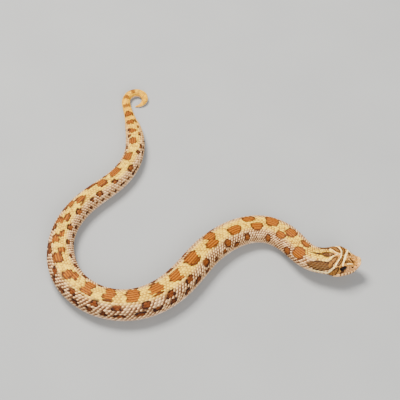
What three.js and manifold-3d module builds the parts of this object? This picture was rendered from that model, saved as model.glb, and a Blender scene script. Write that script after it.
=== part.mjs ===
// A young western hognose snake resting on a flat surface in a loose double bend, as a life-size
// museum model. Millimetres, +Z up, the head pointing along +X. The belly lies on Z = 0, and the neck
// lifts the head clear of it. The whole animal is one skin swept along a route that is laid out by its
// bends. The skin is made in lengths that meet with a thin gap: the head, which a curved cut parts
// into skull and lower jaw, the neck, the body and the tail.
import * as THREE from "three";
import { mergeVertices } from "three/addons/utils/BufferGeometryUtils.js";
import Module from "manifold-3d";

// ----------------------------------------------------------------------------------------------------
// Driving dimensions
// ----------------------------------------------------------------------------------------------------
const TOTAL_LENGTH = 200; // from the start of the route to the tail tip
const SNOUT_TIP = 0.4; // where on the route the snout begins
const HEAD_LENGTH = 12; // where the head ends and the neck begins
const GAP = 0.3; // clear space between nodes that touch in life
// How high the chin is held, and where the neck comes down.
const HEAD_LIFT = { height: 2.8, from: 8, over: 24 };

// The route of the spine: where it starts, which way it leaves, and the bends that follow. All distances
// are along this route, from its start just ahead of the snout tip. A bend is where it starts, how long
// it is, and how far it turns (anticlockwise, degrees).
const START = { x: 46.16, y: -27.63 };
const SPINE_HEADING = 176.5;
const BENDS = {
  neck: { from: 8.8, over: 11.3, turn: -52.9 },
  forebody: { from: 20.6, over: 37.4, turn: 174.3 },
  forebody_easing: { from: 32.7, over: 22.6, turn: -61.8 },
  great_bend_front: { from: 59.7, over: 53.6, turn: -117.6 },
  great_bend_rear: { from: 97.3, over: 50.7, turn: -78.8 },
  hind_sway: { from: 140, over: 35.6, turn: 63.4 },
  tail_curl: { from: 182.9, over: 25.5, turn: -378.5 },
};

// The head at distances along the route: its half width at the widest level, the heights of its top,
// of that level and of its underside above the chin, how far its sides lean in towards the top (a
// share of the half width), and how square its section is above and below that level (2 is an ellipse,
// less is a lozenge with a sharp edge, more is a box).
const HEAD_STATIONS = [
  { at: 0.4, half: 0.85, top: 3.3, widest: 3.12, under: 2.92, lean: 0, crown: 1.8, jowl: 1.8 },
  { at: 0.52, half: 1.25, top: 3.32, widest: 3.05, under: 2.68, lean: 0, crown: 1.8, jowl: 1.8 },
  { at: 0.8, half: 1.68, top: 3.28, widest: 2.88, under: 2.15, lean: 0, crown: 1.8, jowl: 1.9 },
  { at: 1.2, half: 2.05, top: 3.18, widest: 2.6, under: 1.45, lean: 0, crown: 2, jowl: 2.2 },
  { at: 1.6, half: 2.32, top: 3.18, widest: 2.38, under: 0.92, lean: 0.02, crown: 2.2, jowl: 2.4 },
  { at: 2, half: 2.56, top: 3.32, widest: 2.2, under: 0.62, lean: 0.04, crown: 2.5, jowl: 2.6 },
  { at: 2.8, half: 3.02, top: 3.78, widest: 1.95, under: 0.32, lean: 0.07, crown: 3.1, jowl: 2.7 },
  { at: 4.2, half: 3.62, top: 4.5, widest: 1.75, under: 0.12, lean: 0.12, crown: 4, jowl: 2.7 },
  { at: 5.4, half: 4.05, top: 4.98, widest: 1.75, under: 0.04, lean: 0.13, crown: 4.2, jowl: 2.7 },
  { at: 6.8, half: 4.52, top: 5.3, widest: 1.9, under: 0, lean: 0.1, crown: 3.8, jowl: 2.6 },
  { at: 8.1, half: 4.68, top: 5.42, widest: 2.1, under: 0, lean: 0.05, crown: 3.1, jowl: 2.5 },
  { at: 9.5, half: 4.45, top: 5.44, widest: 2.35, under: -0.05, lean: 0.02, crown: 2.7, jowl: 2.4 },
  { at: 11, half: 4.18, top: 5.46, widest: 2.5, under: -0.1, lean: 0, crown: 2.4, jowl: 2.3 },
];
// Neck, body and tail: half width and height at distances along the route.
const BODY_STATIONS = [
  { at: 13, half: 4.03, height: 5.55 },
  { at: 17, half: 3.83, height: 5.5 },
  { at: 28, half: 4.2, height: 6.15 },
  { at: 45, half: 4.4, height: 6.75 },
  { at: 75, half: 4.65, height: 7.8 },
  { at: 98, half: 4.4, height: 7.65 },
  { at: 110, half: 4.25, height: 7.5 },
  { at: 122, half: 3.65, height: 6.55 },
  { at: 148, half: 3.2, height: 6 },
  { at: 166, half: 2.95, height: 5.55 },
  { at: 173, half: 2.44, height: 4.55 },
  { at: 177, half: 1.82, height: 3.35 },
  { at: 181, half: 1.45, height: 2.62 },
  { at: 186, half: 1.32, height: 2.35 },
  { at: 191, half: 1.27, height: 2.25 },
  { at: 196, half: 0.98, height: 1.75 },
  { at: 199.2, half: 0.42, height: 0.75 },
  { at: 200, half: 0.25, height: 0.45 },
];
// The widest level of the body and the sag of its underside are shares of its height.
const BODY_FORM = { widest: 0.46, sag: 0.05, crown: 2.2, jowl: 2.2 };

// Forms that the skin of the head takes on top of its plain section, from one distance to another with
// a fade at both ends: the ridge along the snout shield, the ridge of the brow over the eye, the
// hollow of the face between brow and lip, and the soft roll of both lips beside the line of the
// mouth.
const SNOUT_KEEL = { height: 0.24, halfWidth: 0.5, from: 0.1, to: 3, fade: 1.1 };
const BROW = { out: 0.38, rise: 0.36, halfAngle: 20, from: 2.2, to: 8.2, fade: 1.9 };
const FACE_HOLLOW = { depth: 0.5, up: 3.6, halfWidth: 0.85, from: 1.9, to: 8, fade: 2.2 };
const LIPS = { swell: 0.13, offset: 0.45, halfWidth: 0.32, from: 1, to: 9.2, fade: 1.2 };

// The line of the mouth, seen from the side: distance along the route and height above the chin.
const MOUTH_LINE = [
  { at: 0.6, up: 1.62 },
  { at: 1.8, up: 1.42 },
  { at: 3.4, up: 1.26 },
  { at: 5.4, up: 1.28 },
  { at: 7.2, up: 1.55 },
  { at: 8.8, up: 2 },
];
const JAW_END = 9; // the corner of the mouth
const JAW_SLANT = 0.8; // how far the cut behind the jaw runs back as it goes down

// Eye, orbit and nostril are egg-shaped and mirrored on the two sides. A place is given by its
// distance along the route, how far to the side it is and its height above the chin. Yaw turns the
// rear end outwards, and roll leans the top outwards, in degrees.
const EYE = {
  place: { back: 5.5, side: 2.6, up: 3.74 },
  halfSizes: { along: 1, across: 0.95, up: 1 },
  yaw: 18,
  roll: -12,
  segments: 20,
};
const SOCKET_CLEARANCE = 0.25;
const ORBIT = {
  place: { back: 5.48, side: 3.46, up: 3.72 },
  halfSizes: { along: 1.2, across: 0.42, up: 1.02 },
  yaw: 20,
  roll: -14,
  segments: 20,
};
const NOSTRIL = {
  place: { back: 2.82, side: 2.36, up: 3.06 },
  halfSizes: { along: 0.36, across: 0.42, up: 0.26 },
  yaw: 30,
  roll: -30,
  segments: 10,
};

// Where the body is parted, along the route.
const LENGTHS = [
  { name: "neck", from: 12, to: 26 },
  { name: "forebody_front", from: 26, to: 46 },
  { name: "forebody_rear", from: 46, to: 68 },
  { name: "midbody_front", from: 68, to: 90 },
  { name: "midbody_middle", from: 90, to: 110 },
  { name: "midbody_rear", from: 110, to: 130 },
  { name: "hindbody_front", from: 130, to: 149 },
  { name: "hindbody_rear", from: 149, to: 167 },
  { name: "tail_base", from: 167, to: 184 },
  { name: "tail_curl", from: 184, to: TOTAL_LENGTH },
];
// How finely the skin is faceted: points round each ring, millimetres from ring to ring, and how they
// crowd.
const FACETS = {
  head: { sides: 44, step: 0.43, crowding: 1.3 },
  body: { sides: 24, step: 2, crowding: 1 },
  tail: { sides: 20, step: 1.15, crowding: 1 },
};

const FINISHES = {
  head: { color: 0xc8945a, roughness: 0.5, metalness: 0 },
  body: { color: 0xe2bf86, roughness: 0.55, metalness: 0 },
  tail: { color: 0xe6bd74, roughness: 0.5, metalness: 0 },
  eye: { color: 0x140c0a, roughness: 0.08, metalness: 0 },
};

// ----------------------------------------------------------------------------------------------------
// Curves
// ----------------------------------------------------------------------------------------------------
const { clamp, degToRad, lerp } = THREE.MathUtils;

// Rises smoothly from 0 to 1 as t goes from 0 to 1.
function ease(t) {
  const held = clamp(t, 0, 1);
  return held * held * (3 - 2 * held);
}

// A smooth function of distance through one value of the stations, which never overshoots them.
function through(stations, key) {
  const x = stations.map((station) => station.at);
  const y = stations.map((station) => station[key]);
  const last = x.length - 1;
  const slope = x.slice(1).map((right, i) => (y[i + 1] - y[i]) / (right - x[i]));
  const tangent = x.map((_, i) => {
    if (i === 0) return slope[0];
    if (i === last) return slope[last - 1];
    if (slope[i - 1] * slope[i] <= 0) return 0;
    return (2 * slope[i - 1] * slope[i]) / (slope[i - 1] + slope[i]);
  });
  return (at) => {
    const held = clamp(at, x[0], x[last]);
    let i = 0;
    while (i < last - 1 && held > x[i + 1]) i += 1;
    const width = x[i + 1] - x[i];
    const t = (held - x[i]) / width;
    const leave = t * (1 - t) * (1 - t) * tangent[i];
    const arrive = t * t * (1 - t) * tangent[i + 1];
    return lerp(y[i], y[i + 1], ease(t)) + (leave - arrive) * width;
  };
}

// The spine's heading at a distance along the route, in radians.
function headingAt(distance) {
  let turned = SPINE_HEADING;
  for (const bend of Object.values(BENDS)) {
    turned += bend.turn * ease((distance - bend.from) / bend.over);
  }
  return degToRad(turned);
}

// The route as closely spaced points, walked along the heading.
const WALK = 0.1;
const ROUTE = [new THREE.Vector2(START.x, START.y)];
for (let i = 0; i < TOTAL_LENGTH / WALK; i += 1) {
  const heading = headingAt((i + 0.5) * WALK);
  const step = new THREE.Vector2(Math.cos(heading), Math.sin(heading)).multiplyScalar(WALK);
  ROUTE.push(ROUTE[i].clone().add(step));
}

function routeAt(distance) {
  const place = clamp(distance / WALK, 0, ROUTE.length - 1);
  const i = Math.min(Math.floor(place), ROUTE.length - 2);
  return ROUTE[i].clone().lerp(ROUTE[i + 1], place - i);
}

// How high the chin or belly is held above the surface.
function liftAt(distance) {
  return HEAD_LIFT.height * (1 - ease((distance - HEAD_LIFT.from) / HEAD_LIFT.over));
}

// A place given by distance along the route, side (left is positive) and height above the belly, in space.
function placeOf(distance, side, up) {
  const on = routeAt(distance);
  const heading = headingAt(distance);
  const x = on.x + side * Math.sin(heading);
  const y = on.y - side * Math.cos(heading);
  return new THREE.Vector3(x, y, liftAt(distance) + up);
}

// ----------------------------------------------------------------------------------------------------
// The section of the animal at a distance along the route
// ----------------------------------------------------------------------------------------------------
const STATIONS = [
  ...HEAD_STATIONS,
  ...BODY_STATIONS.map(({ at, half, height }) => ({
    at,
    half,
    top: height,
    widest: height * BODY_FORM.widest,
    under: -height * BODY_FORM.sag,
    lean: 0,
    crown: BODY_FORM.crown,
    jowl: BODY_FORM.jowl,
  })),
];
const formAt = {
  half: through(STATIONS, "half"),
  top: through(STATIONS, "top"),
  widest: through(STATIONS, "widest"),
  under: through(STATIONS, "under"),
  lean: through(STATIONS, "lean"),
  crown: through(STATIONS, "crown"),
  jowl: through(STATIONS, "jowl"),
  mouth: through(MOUTH_LINE, "up"),
};

function bump(offset, halfWidth) {
  return Math.exp(-((offset / halfWidth) ** 2));
}

// How far a form of the head is present at a distance, from 0 to 1.
function presence({ from, to, fade }, distance) {
  return ease((distance - from) / fade) * ease((to - distance) / fade);
}

function lipSwell(distance, up) {
  const above = bump(up - formAt.mouth(distance) - LIPS.offset, LIPS.halfWidth);
  const below = bump(up - formAt.mouth(distance) + LIPS.offset, LIPS.halfWidth);
  return LIPS.swell * presence(LIPS, distance) * (above + below);
}

function keelRise(distance, side) {
  return SNOUT_KEEL.height * presence(SNOUT_KEEL, distance) * bump(side, SNOUT_KEEL.halfWidth);
}

function hollowDepth(distance, up) {
  const depth = FACE_HOLLOW.depth * presence(FACE_HOLLOW, distance);
  return depth * bump(up - FACE_HOLLOW.up, FACE_HOLLOW.halfWidth);
}

// A point of the left half of the section, at an angle from the top of the back. The round underside
// is cut off flat at the belly.
function sectionPoint(distance, angle) {
  const upper = angle < Math.PI / 2;
  const power = 2 / (upper ? formAt.crown(distance) : formAt.jowl(distance));
  const across = Math.sin(angle) ** power;
  const rise = Math.abs(Math.cos(angle)) ** power;
  const widest = formAt.widest(distance);
  const side = formAt.half(distance) * across;
  if (upper) {
    const up = widest + (formAt.top(distance) - widest) * rise;
    const leaning = side * (1 - formAt.lean(distance) * rise);
    const brow = presence(BROW, distance) * bump(angle - Math.PI / 4, degToRad(BROW.halfAngle));
    const outwards = BROW.out * brow + (lipSwell(distance, up) - hollowDepth(distance, up)) * across;
    return { side: leaning + outwards, up: up + BROW.rise * brow + keelRise(distance, side) };
  }
  const up = Math.max(0, widest - (widest - formAt.under(distance)) * rise);
  return { side: side + (lipSwell(distance, up) - hollowDepth(distance, up)) * across, up };
}

// The section as a ring of evenly spaced points, from the top of the back over the left side and round.
const FINE_ANGLES = 90;
function ringAt(distance, sides) {
  const outline = [];
  for (let k = 0; k <= FINE_ANGLES; k += 1) {
    const { side, up } = sectionPoint(distance, (Math.PI * k) / FINE_ANGLES);
    outline.push(new THREE.Vector3(side, up, 0));
  }
  const halfRing = new THREE.CurvePath();
  for (let k = 0; k < FINE_ANGLES; k += 1) {
    halfRing.add(new THREE.LineCurve3(outline[k], outline[k + 1]));
  }
  const left = [];
  for (let j = 0; j <= sides / 2; j += 1) left.push(halfRing.getPointAt((2 * j) / sides));
  left[0].x = 0;
  left[sides / 2].x = 0;
  const right = left.slice(1, -1).reverse();
  return [
    ...left.map(({ x, y }) => placeOf(distance, x, y)),
    ...right.map(({ x, y }) => placeOf(distance, -x, y)),
  ];
}

// ----------------------------------------------------------------------------------------------------
// Solids
// ----------------------------------------------------------------------------------------------------
const wasm = await Module();
wasm.setup();

// A closed skin over rings of equally many points that follow one another, with a fan over each end. Each
// four-sided patch between two rings is split along its shorter diagonal.
function loft(rings) {
  const sides = rings[0].length;
  const points = rings.flat();
  const faces = [];
  for (let i = 0; i < rings.length - 1; i += 1) {
    for (let j = 0; j < sides; j += 1) {
      const a = i * sides + j;
      const b = i * sides + ((j + 1) % sides);
      const c = b + sides;
      const d = a + sides;
      const alongAC = points[a].distanceTo(points[c]) < points[b].distanceTo(points[d]);
      faces.push(...(alongAC ? [a, b, c, a, c, d] : [a, b, d, b, c, d]));
    }
  }
  const front = points.push(middleOf(rings[0])) - 1;
  const back = points.push(middleOf(rings.at(-1))) - 1;
  const lastRing = (rings.length - 1) * sides;
  for (let j = 0; j < sides; j += 1) {
    const next = (j + 1) % sides;
    faces.push(front, next, j);
    faces.push(back, lastRing + j, lastRing + next);
  }
  const geometry = new THREE.BufferGeometry().setFromPoints(points);
  geometry.setIndex(faces);
  return geometry;
}

function middleOf(ring) {
  return ring.reduce((sum, point) => sum.add(point), new THREE.Vector3()).divideScalar(ring.length);
}

// The skin between two distances along the route. A crowding above 1 sets the first rings closer together.
function skinBetween(from, to, { sides, step, crowding }) {
  const count = Math.max(2, Math.round((to - from) / step));
  const rings = [];
  for (let i = 0; i <= count; i += 1) {
    rings.push(ringAt(lerp(from, to, (i / count) ** crowding), sides));
  }
  return loft(rings);
}

function solidOf(geometry) {
  const bare = geometry.clone();
  bare.deleteAttribute("normal");
  bare.deleteAttribute("uv");
  const merged = mergeVertices(bare, 1e-4);
  return new wasm.Manifold(
    new wasm.Mesh({
      numProp: 3,
      vertProperties: new Float32Array(merged.attributes.position.array),
      triVerts: new Uint32Array(merged.index.array),
    }),
  );
}

function geometryOf(solid) {
  const mesh = solid.getMesh();
  const points = [];
  for (let i = 0; i < mesh.numVert; i += 1) {
    const at = i * mesh.numProp;
    points.push(new THREE.Vector3(...mesh.vertProperties.slice(at, at + 3)));
  }
  const geometry = new THREE.BufferGeometry().setFromPoints(points);
  geometry.setIndex([...mesh.triVerts]);
  return geometry;
}

// ----------------------------------------------------------------------------------------------------
// The head
// ----------------------------------------------------------------------------------------------------
const LEFT = 1;
const RIGHT = -1;

// An egg-shaped solid on one side of the head, grown by a clearance on all sides.
function egg({ place, halfSizes, yaw, roll, segments }, sign, clearance = 0) {
  const geometry = new THREE.SphereGeometry(1, segments, Math.round(segments * 0.6));
  geometry.rotateX(Math.PI / 2);
  geometry.scale(halfSizes.along + clearance, halfSizes.across + clearance, halfSizes.up + clearance);
  geometry.rotateX(degToRad(-sign * roll));
  geometry.rotateZ(headingAt(place.back) - Math.PI - degToRad(sign * yaw));
  const at = placeOf(place.back, sign * place.side, place.up);
  geometry.translate(at.x, at.y, at.z);
  return solidOf(geometry);
}

// A curved sheet, as thick as the gap, that runs across the head along the mouth and down behind its
// corner.
const CUT_WIDTH = 14;
const CUT_STEPS = 16;
const CUT_FRONT = -1;
const CUT_FLOOR = -1;
function mouthCut() {
  const above = [];
  const below = [];
  for (let i = 0; i <= CUT_STEPS; i += 1) {
    const at = lerp(CUT_FRONT, JAW_END, i / CUT_STEPS);
    above.push(new THREE.Vector2(at, formAt.mouth(at) + GAP / 2));
    below.push(new THREE.Vector2(at, formAt.mouth(at) - GAP / 2));
  }
  above.at(-1).x += GAP;
  const outline = [
    ...above,
    new THREE.Vector2(JAW_END + JAW_SLANT + GAP, CUT_FLOOR),
    new THREE.Vector2(JAW_END + JAW_SLANT, CUT_FLOOR),
    ...below.reverse(),
  ];
  const options = { depth: CUT_WIDTH, bevelEnabled: false };
  const sheet = new THREE.ExtrudeGeometry(new THREE.Shape(outline), options);
  sheet.translate(0, 0, -CUT_WIDTH / 2);
  sheet.rotateX(Math.PI / 2);
  sheet.rotateZ(degToRad(SPINE_HEADING));
  sheet.translate(START.x, START.y, HEAD_LIFT.height);
  return solidOf(sheet);
}

// Parts the whole head into the skull with the upper lip, and the lower jaw.
function headAndJaw() {
  let whole = solidOf(skinBetween(SNOUT_TIP, HEAD_LENGTH - GAP / 2, FACETS.head));
  for (const sign of [LEFT, RIGHT]) {
    whole = whole
      .subtract(egg(ORBIT, sign))
      .subtract(egg(NOSTRIL, sign))
      .subtract(egg(EYE, sign, SOCKET_CLEARANCE));
  }
  const [head, jaw] = whole
    .subtract(mouthCut())
    .decompose()
    .sort((a, b) => b.volume() - a.volume());
  return { head, jaw };
}

// ----------------------------------------------------------------------------------------------------
// The animal
// ----------------------------------------------------------------------------------------------------
const snake = new THREE.Group();

function add(name, geometry, finish) {
  const mesh = new THREE.Mesh(geometry, new THREE.MeshStandardMaterial(finish));
  mesh.name = name;
  snake.add(mesh);
}

const { head, jaw } = headAndJaw();
add("head", geometryOf(head), FINISHES.head);
add("lower_jaw", geometryOf(jaw), FINISHES.head);
add("eye_left", geometryOf(egg(EYE, LEFT)), FINISHES.eye);
add("eye_right", geometryOf(egg(EYE, RIGHT)), FINISHES.eye);

for (const { name, from, to } of LENGTHS) {
  const part = name.startsWith("tail") ? "tail" : "body";
  const end = to === TOTAL_LENGTH ? to : to - GAP / 2;
  add(name, skinBetween(from + GAP / 2, end, FACETS[part]), FINISHES[part]);
}

export default snake;
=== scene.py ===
# %% [markdown]
# # A young western hognose snake, dressed in skin and scales
#
# This lesson dresses a packed CAD snake. The CAD gives the true form in plain faceted lengths. Here one
# smooth skin takes their place, and thousands of small overlapping scales lie on it. The head has its own
# large plates.
#
# We start by loading the frame. It is fixed: nothing in it is moved, and every new piece is placed from its
# sizes.

import math

import bpy
import numpy as np
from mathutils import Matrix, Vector


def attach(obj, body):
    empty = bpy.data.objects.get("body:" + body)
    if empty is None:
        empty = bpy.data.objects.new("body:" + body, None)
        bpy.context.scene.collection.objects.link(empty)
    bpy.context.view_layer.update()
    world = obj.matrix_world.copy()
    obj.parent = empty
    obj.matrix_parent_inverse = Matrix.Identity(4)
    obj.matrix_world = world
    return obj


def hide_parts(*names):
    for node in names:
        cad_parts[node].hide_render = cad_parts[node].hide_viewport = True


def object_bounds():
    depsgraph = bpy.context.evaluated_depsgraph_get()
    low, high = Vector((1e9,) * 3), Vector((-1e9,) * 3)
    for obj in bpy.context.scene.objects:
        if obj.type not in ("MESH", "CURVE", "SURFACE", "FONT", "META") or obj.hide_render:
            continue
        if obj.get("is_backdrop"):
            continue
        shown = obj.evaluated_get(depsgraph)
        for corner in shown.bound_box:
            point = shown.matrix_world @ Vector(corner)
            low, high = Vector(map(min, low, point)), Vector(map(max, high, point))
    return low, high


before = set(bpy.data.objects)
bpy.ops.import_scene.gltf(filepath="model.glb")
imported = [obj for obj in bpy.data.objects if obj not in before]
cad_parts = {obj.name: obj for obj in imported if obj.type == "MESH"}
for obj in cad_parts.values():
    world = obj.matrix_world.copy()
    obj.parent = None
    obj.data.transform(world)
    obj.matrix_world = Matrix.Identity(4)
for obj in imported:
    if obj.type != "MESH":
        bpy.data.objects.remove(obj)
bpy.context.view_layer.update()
MM = 0.001

# %% [markdown]
# ## The spine
#
# A snake is one long tube, so it needs one long curve to lie on. We could draw that curve by hand, but a
# list of bends is easier to read and to change: each bend says where it starts behind the snout, how long
# it is and how far it turns. Walking along the heading in short steps then gives the route, in millimetres.

# %% Lay out the spine by its bends
TOTAL_LENGTH = 200.0
START = np.array([46.16, -27.63])
SNOUT_TIP = 0.4  # where on the route the snout begins
SPINE_HEADING = 176.5
BENDS = {  # where a bend starts, how long it is and how many degrees it turns
    "neck": (8.8, 11.3, -52.9),
    "forebody": (20.6, 37.4, 174.3),
    "forebody, easing": (32.7, 22.6, -61.8),
    "great bend, front": (59.7, 53.6, -117.6),
    "great bend, rear": (97.3, 50.7, -78.8),
    "hind sway": (140, 35.6, 63.4),
    "tail curl": (182.9, 25.5, -378.5),
}


def ease(t):
    """From 0 to 1 with a soft start and a soft end."""
    t = np.clip(t, 0, 1)
    return t * t * (3 - 2 * t)


def heading_at(at):
    """Which way the spine runs there, in radians."""
    turned = np.full(np.shape(at), SPINE_HEADING)
    for start, length, turn in BENDS.values():
        turned = turned + turn * ease((np.asarray(at) - start) / length)
    return np.radians(turned)


STEP = 0.1  # millimetres along the spine
middles = (np.arange(round(TOTAL_LENGTH / STEP)) + 0.5) * STEP
strides = STEP * np.stack([np.cos(heading_at(middles)), np.sin(heading_at(middles))], 1)
route = np.vstack([START, START + np.cumsum(strides, 0)])
route_at = np.arange(len(route)) * STEP
print("the tail tip lies at", np.round(route[-1], 1), "mm")

# %% [markdown]
# The head is held a little above the ground, and the neck comes down behind it. A place on the animal is
# then given by three numbers that follow its body: how far behind the snout, how far to the side (left is
# positive) and how high above the belly.

# %% Lift the head and turn body places into space
HEAD_LIFT, LIFT_FROM, LIFT_OVER = 2.8, 8, 24


def in_space(at, side, up):
    """The point in millimetres at a place of the body."""
    x = np.interp(at, route_at, route[:, 0])
    y = np.interp(at, route_at, route[:, 1])
    heading = heading_at(at)
    lift = HEAD_LIFT * (1 - ease((at - LIFT_FROM) / LIFT_OVER))
    return np.stack([x + side * np.sin(heading), y - side * np.cos(heading), lift + up], -1)


print("the chin is held", in_space(np.array([4.0]), 0, 0)[0, 2].round(2), "mm up")

# %% [markdown]
# ## The section of the body
#
# Cut a snake across and you see a shape like a loaf: round above, flat below. The head is boxier, with a
# flat crown and leaning cheeks. We describe the loaf at a few stations and let smooth curves run through
# them, just as a boat builder lofts a hull. The columns are: distance behind the snout, half width, height
# of the top, of the widest level and of the underside, how far the sides lean in, and how square the upper
# and lower halves are.

# %% Stations of the head and the body
HEAD_STATIONS = [
    (0.4, 0.85, 3.3, 3.12, 2.92, 0, 1.8, 1.8),
    (0.52, 1.25, 3.32, 3.05, 2.68, 0, 1.8, 1.8),
    (0.8, 1.68, 3.28, 2.88, 2.15, 0, 1.8, 1.9),
    (1.2, 2.05, 3.18, 2.6, 1.45, 0, 2, 2.2),
    (1.6, 2.32, 3.18, 2.38, 0.92, 0.02, 2.2, 2.4),
    (2, 2.56, 3.32, 2.2, 0.62, 0.04, 2.5, 2.6),
    (2.8, 3.02, 3.78, 1.95, 0.32, 0.07, 3.1, 2.7),
    (4.2, 3.62, 4.5, 1.75, 0.12, 0.12, 4, 2.7),
    (5.4, 4.05, 4.98, 1.75, 0.04, 0.13, 4.2, 2.7),
    (6.8, 4.52, 5.3, 1.9, 0, 0.1, 3.8, 2.6),
    (8.1, 4.68, 5.42, 2.1, 0, 0.05, 3.1, 2.5),
    (9.5, 4.45, 5.44, 2.35, -0.05, 0.02, 2.7, 2.4),
    (11, 4.18, 5.46, 2.5, -0.1, 0, 2.4, 2.3),
]
# The body needs only its half width and its height: the rest is a share of the height.
BODY_STATIONS = [
    (13, 4.03, 5.55), (17, 3.83, 5.5), (28, 4.2, 6.15), (45, 4.4, 6.75), (75, 4.65, 7.8),
    (98, 4.4, 7.65), (110, 4.25, 7.5), (122, 3.65, 6.55), (148, 3.2, 6), (166, 2.95, 5.55),
    (173, 2.44, 4.55), (177, 1.82, 3.35), (181, 1.45, 2.62), (186, 1.32, 2.35), (191, 1.27, 2.25),
    (196, 0.98, 1.75), (199.2, 0.42, 0.75), (200, 0.25, 0.45),
]
BODY_WIDEST, BODY_SAG, BODY_ROUND = 0.46, 0.05, 2.2
MOUTH_LINE = [(0.6, 1.62), (1.8, 1.42), (3.4, 1.26), (5.4, 1.28), (7.2, 1.55), (8.8, 2.0)]
stations = HEAD_STATIONS + [
    (at, half, height, height * BODY_WIDEST, -height * BODY_SAG, 0, BODY_ROUND, BODY_ROUND)
    for at, half, height in BODY_STATIONS
]
print(len(stations), "stations from snout to tail")

# %% [markdown]
# Straight lines between the stations would leave creases, and common smooth curves swing past their points,
# which would give the snake waists. The curve here is smooth too, but it never goes past a station.

# %% Curves through the stations
def through(x, y):
    """A smooth curve through the points that never overshoots them."""
    x, y = np.array(x, float), np.array(y, float)
    slope = np.diff(y) / np.diff(x)
    tangent = np.concatenate([slope[:1], np.zeros(len(x) - 2), slope[-1:]])
    for i in range(1, len(x) - 1):
        if slope[i - 1] * slope[i] > 0:
            tangent[i] = 2 * slope[i - 1] * slope[i] / (slope[i - 1] + slope[i])

    def curve(at):
        at = np.clip(at, x[0], x[-1])
        i = np.clip(np.searchsorted(x, at, side="right") - 1, 0, len(x) - 2)
        width = x[i + 1] - x[i]
        t = (at - x[i]) / width
        bend = t * (1 - t) ** 2 * tangent[i] - t * t * (1 - t) * tangent[i + 1]
        return y[i] + (y[i + 1] - y[i]) * ease(t) + bend * width

    return curve


columns = list(zip(*stations))
curves = [through(columns[0], column) for column in columns[1:]]
half_at, top_at, widest_at, under_at, lean_at, crown_at, jowl_at = curves
mouth_at = through(*zip(*MOUTH_LINE))
print("the body is", round(2 * float(half_at(75)), 1), "mm wide at its thickest")

# %% [markdown]
# The head carries forms that a plain loft would miss: the keel of the upturned snout, the ridge of the
# brow, the hollow of the face in front of the eye and the soft roll of the lips. Each is a small bump that
# is present only from one distance to another, so the section can take them in one formula.

# %% The section with the forms of the head
# A span says where a form starts, where it ends and over how many millimetres it fades in and out.
LIP_OFFSET, LIP_ROLL, LIP_HALF_WIDTH, LIP_SPAN = 0.45, 0.13, 0.32, (1, 9.2, 1.2)
HOLLOW_UP, HOLLOW_DEPTH, HOLLOW_HALF_WIDTH, HOLLOW_SPAN = 3.6, 0.5, 0.85, (1.9, 8, 2.2)
BROW_OUT, BROW_UP, BROW_HALF_WIDTH, BROW_SPAN = 0.38, 0.36, np.radians(20), (2.2, 8.2, 1.9)
RIDGE_HEIGHT, RIDGE_HALF_WIDTH, RIDGE_SPAN = 0.24, 0.5, (0.1, 3, 1.1)


def bump(offset, half_width):
    """1 in the middle and soft to both sides."""
    return np.exp(-((offset / half_width) ** 2))


def presence(at, start, end, fade):
    return ease((at - start) / fade) * ease((end - at) / fade)


def section(at, angle):
    """Side and height of the left half of the section, from the top of the back (0) to the belly (pi)."""
    upper = angle < np.pi / 2
    power = 2 / np.where(upper, crown_at(at), jowl_at(at))
    across = np.clip(np.sin(angle), 0, 1) ** power
    rise = np.abs(np.cos(angle)) ** power
    widest, side = widest_at(at), half_at(at) * across
    above = widest + (top_at(at) - widest) * rise
    below = np.maximum(0, widest - (widest - under_at(at)) * rise)
    up = np.where(upper, above, below)
    over_mouth = up - mouth_at(at)
    lips = bump(over_mouth - LIP_OFFSET, LIP_HALF_WIDTH) + bump(over_mouth + LIP_OFFSET, LIP_HALF_WIDTH)
    lips = LIP_ROLL * presence(at, *LIP_SPAN) * lips
    hollow = HOLLOW_DEPTH * presence(at, *HOLLOW_SPAN) * bump(up - HOLLOW_UP, HOLLOW_HALF_WIDTH)
    brow = presence(at, *BROW_SPAN) * bump(angle - np.pi / 4, BROW_HALF_WIDTH) * upper
    ridge = RIDGE_HEIGHT * presence(at, *RIDGE_SPAN) * bump(side, RIDGE_HALF_WIDTH) * upper
    leaning = side * (1 - lean_at(at) * rise * upper) + BROW_OUT * brow
    return leaning + (lips - hollow) * across, up + BROW_UP * brow + ridge


widest_side, _ = section(np.array([8.1]), np.array([np.pi / 2]))
print("the head is", round(2 * float(widest_side[0]), 1), "mm wide at the cheeks")

# %% [markdown]
# ## A map of the skin
#
# Scales, plates and colours all have to find their place on the animal. So we make a map once, like the
# latitude and longitude of a globe: how far behind the snout, and which share of the way round from the
# middle of the back (0) to the middle of the belly (1, or -1 on the right). The map also knows which way is
# outwards.

# %% Measure the skin once and keep it as a map
HALF_SHARES, FINE_ANGLES = 160, 241
map_at = np.arange(0, TOTAL_LENGTH + STEP / 2, STEP)
grid_at, grid_angle = np.meshgrid(map_at, np.linspace(0, np.pi, FINE_ANGLES), indexing="ij")
fine_side, fine_up = section(grid_at, grid_angle)
run = np.hypot(np.diff(fine_side, axis=1), np.diff(fine_up, axis=1)).cumsum(1)
run = np.hstack([np.zeros((len(run), 1)), run])
half_girth = run[:, -1]
shares = np.linspace(0, 1, HALF_SHARES + 1)
map_side, map_up = (
    np.array([np.interp(shares * r[-1], r, row) for r, row in zip(run, rows)])
    for rows in (fine_side, fine_up)
)


def whole(half, sign):
    """The half from the back to the belly, and its mirror image, as one row from -1 to 1."""
    return np.hstack([sign * half[:, :0:-1], half])


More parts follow.
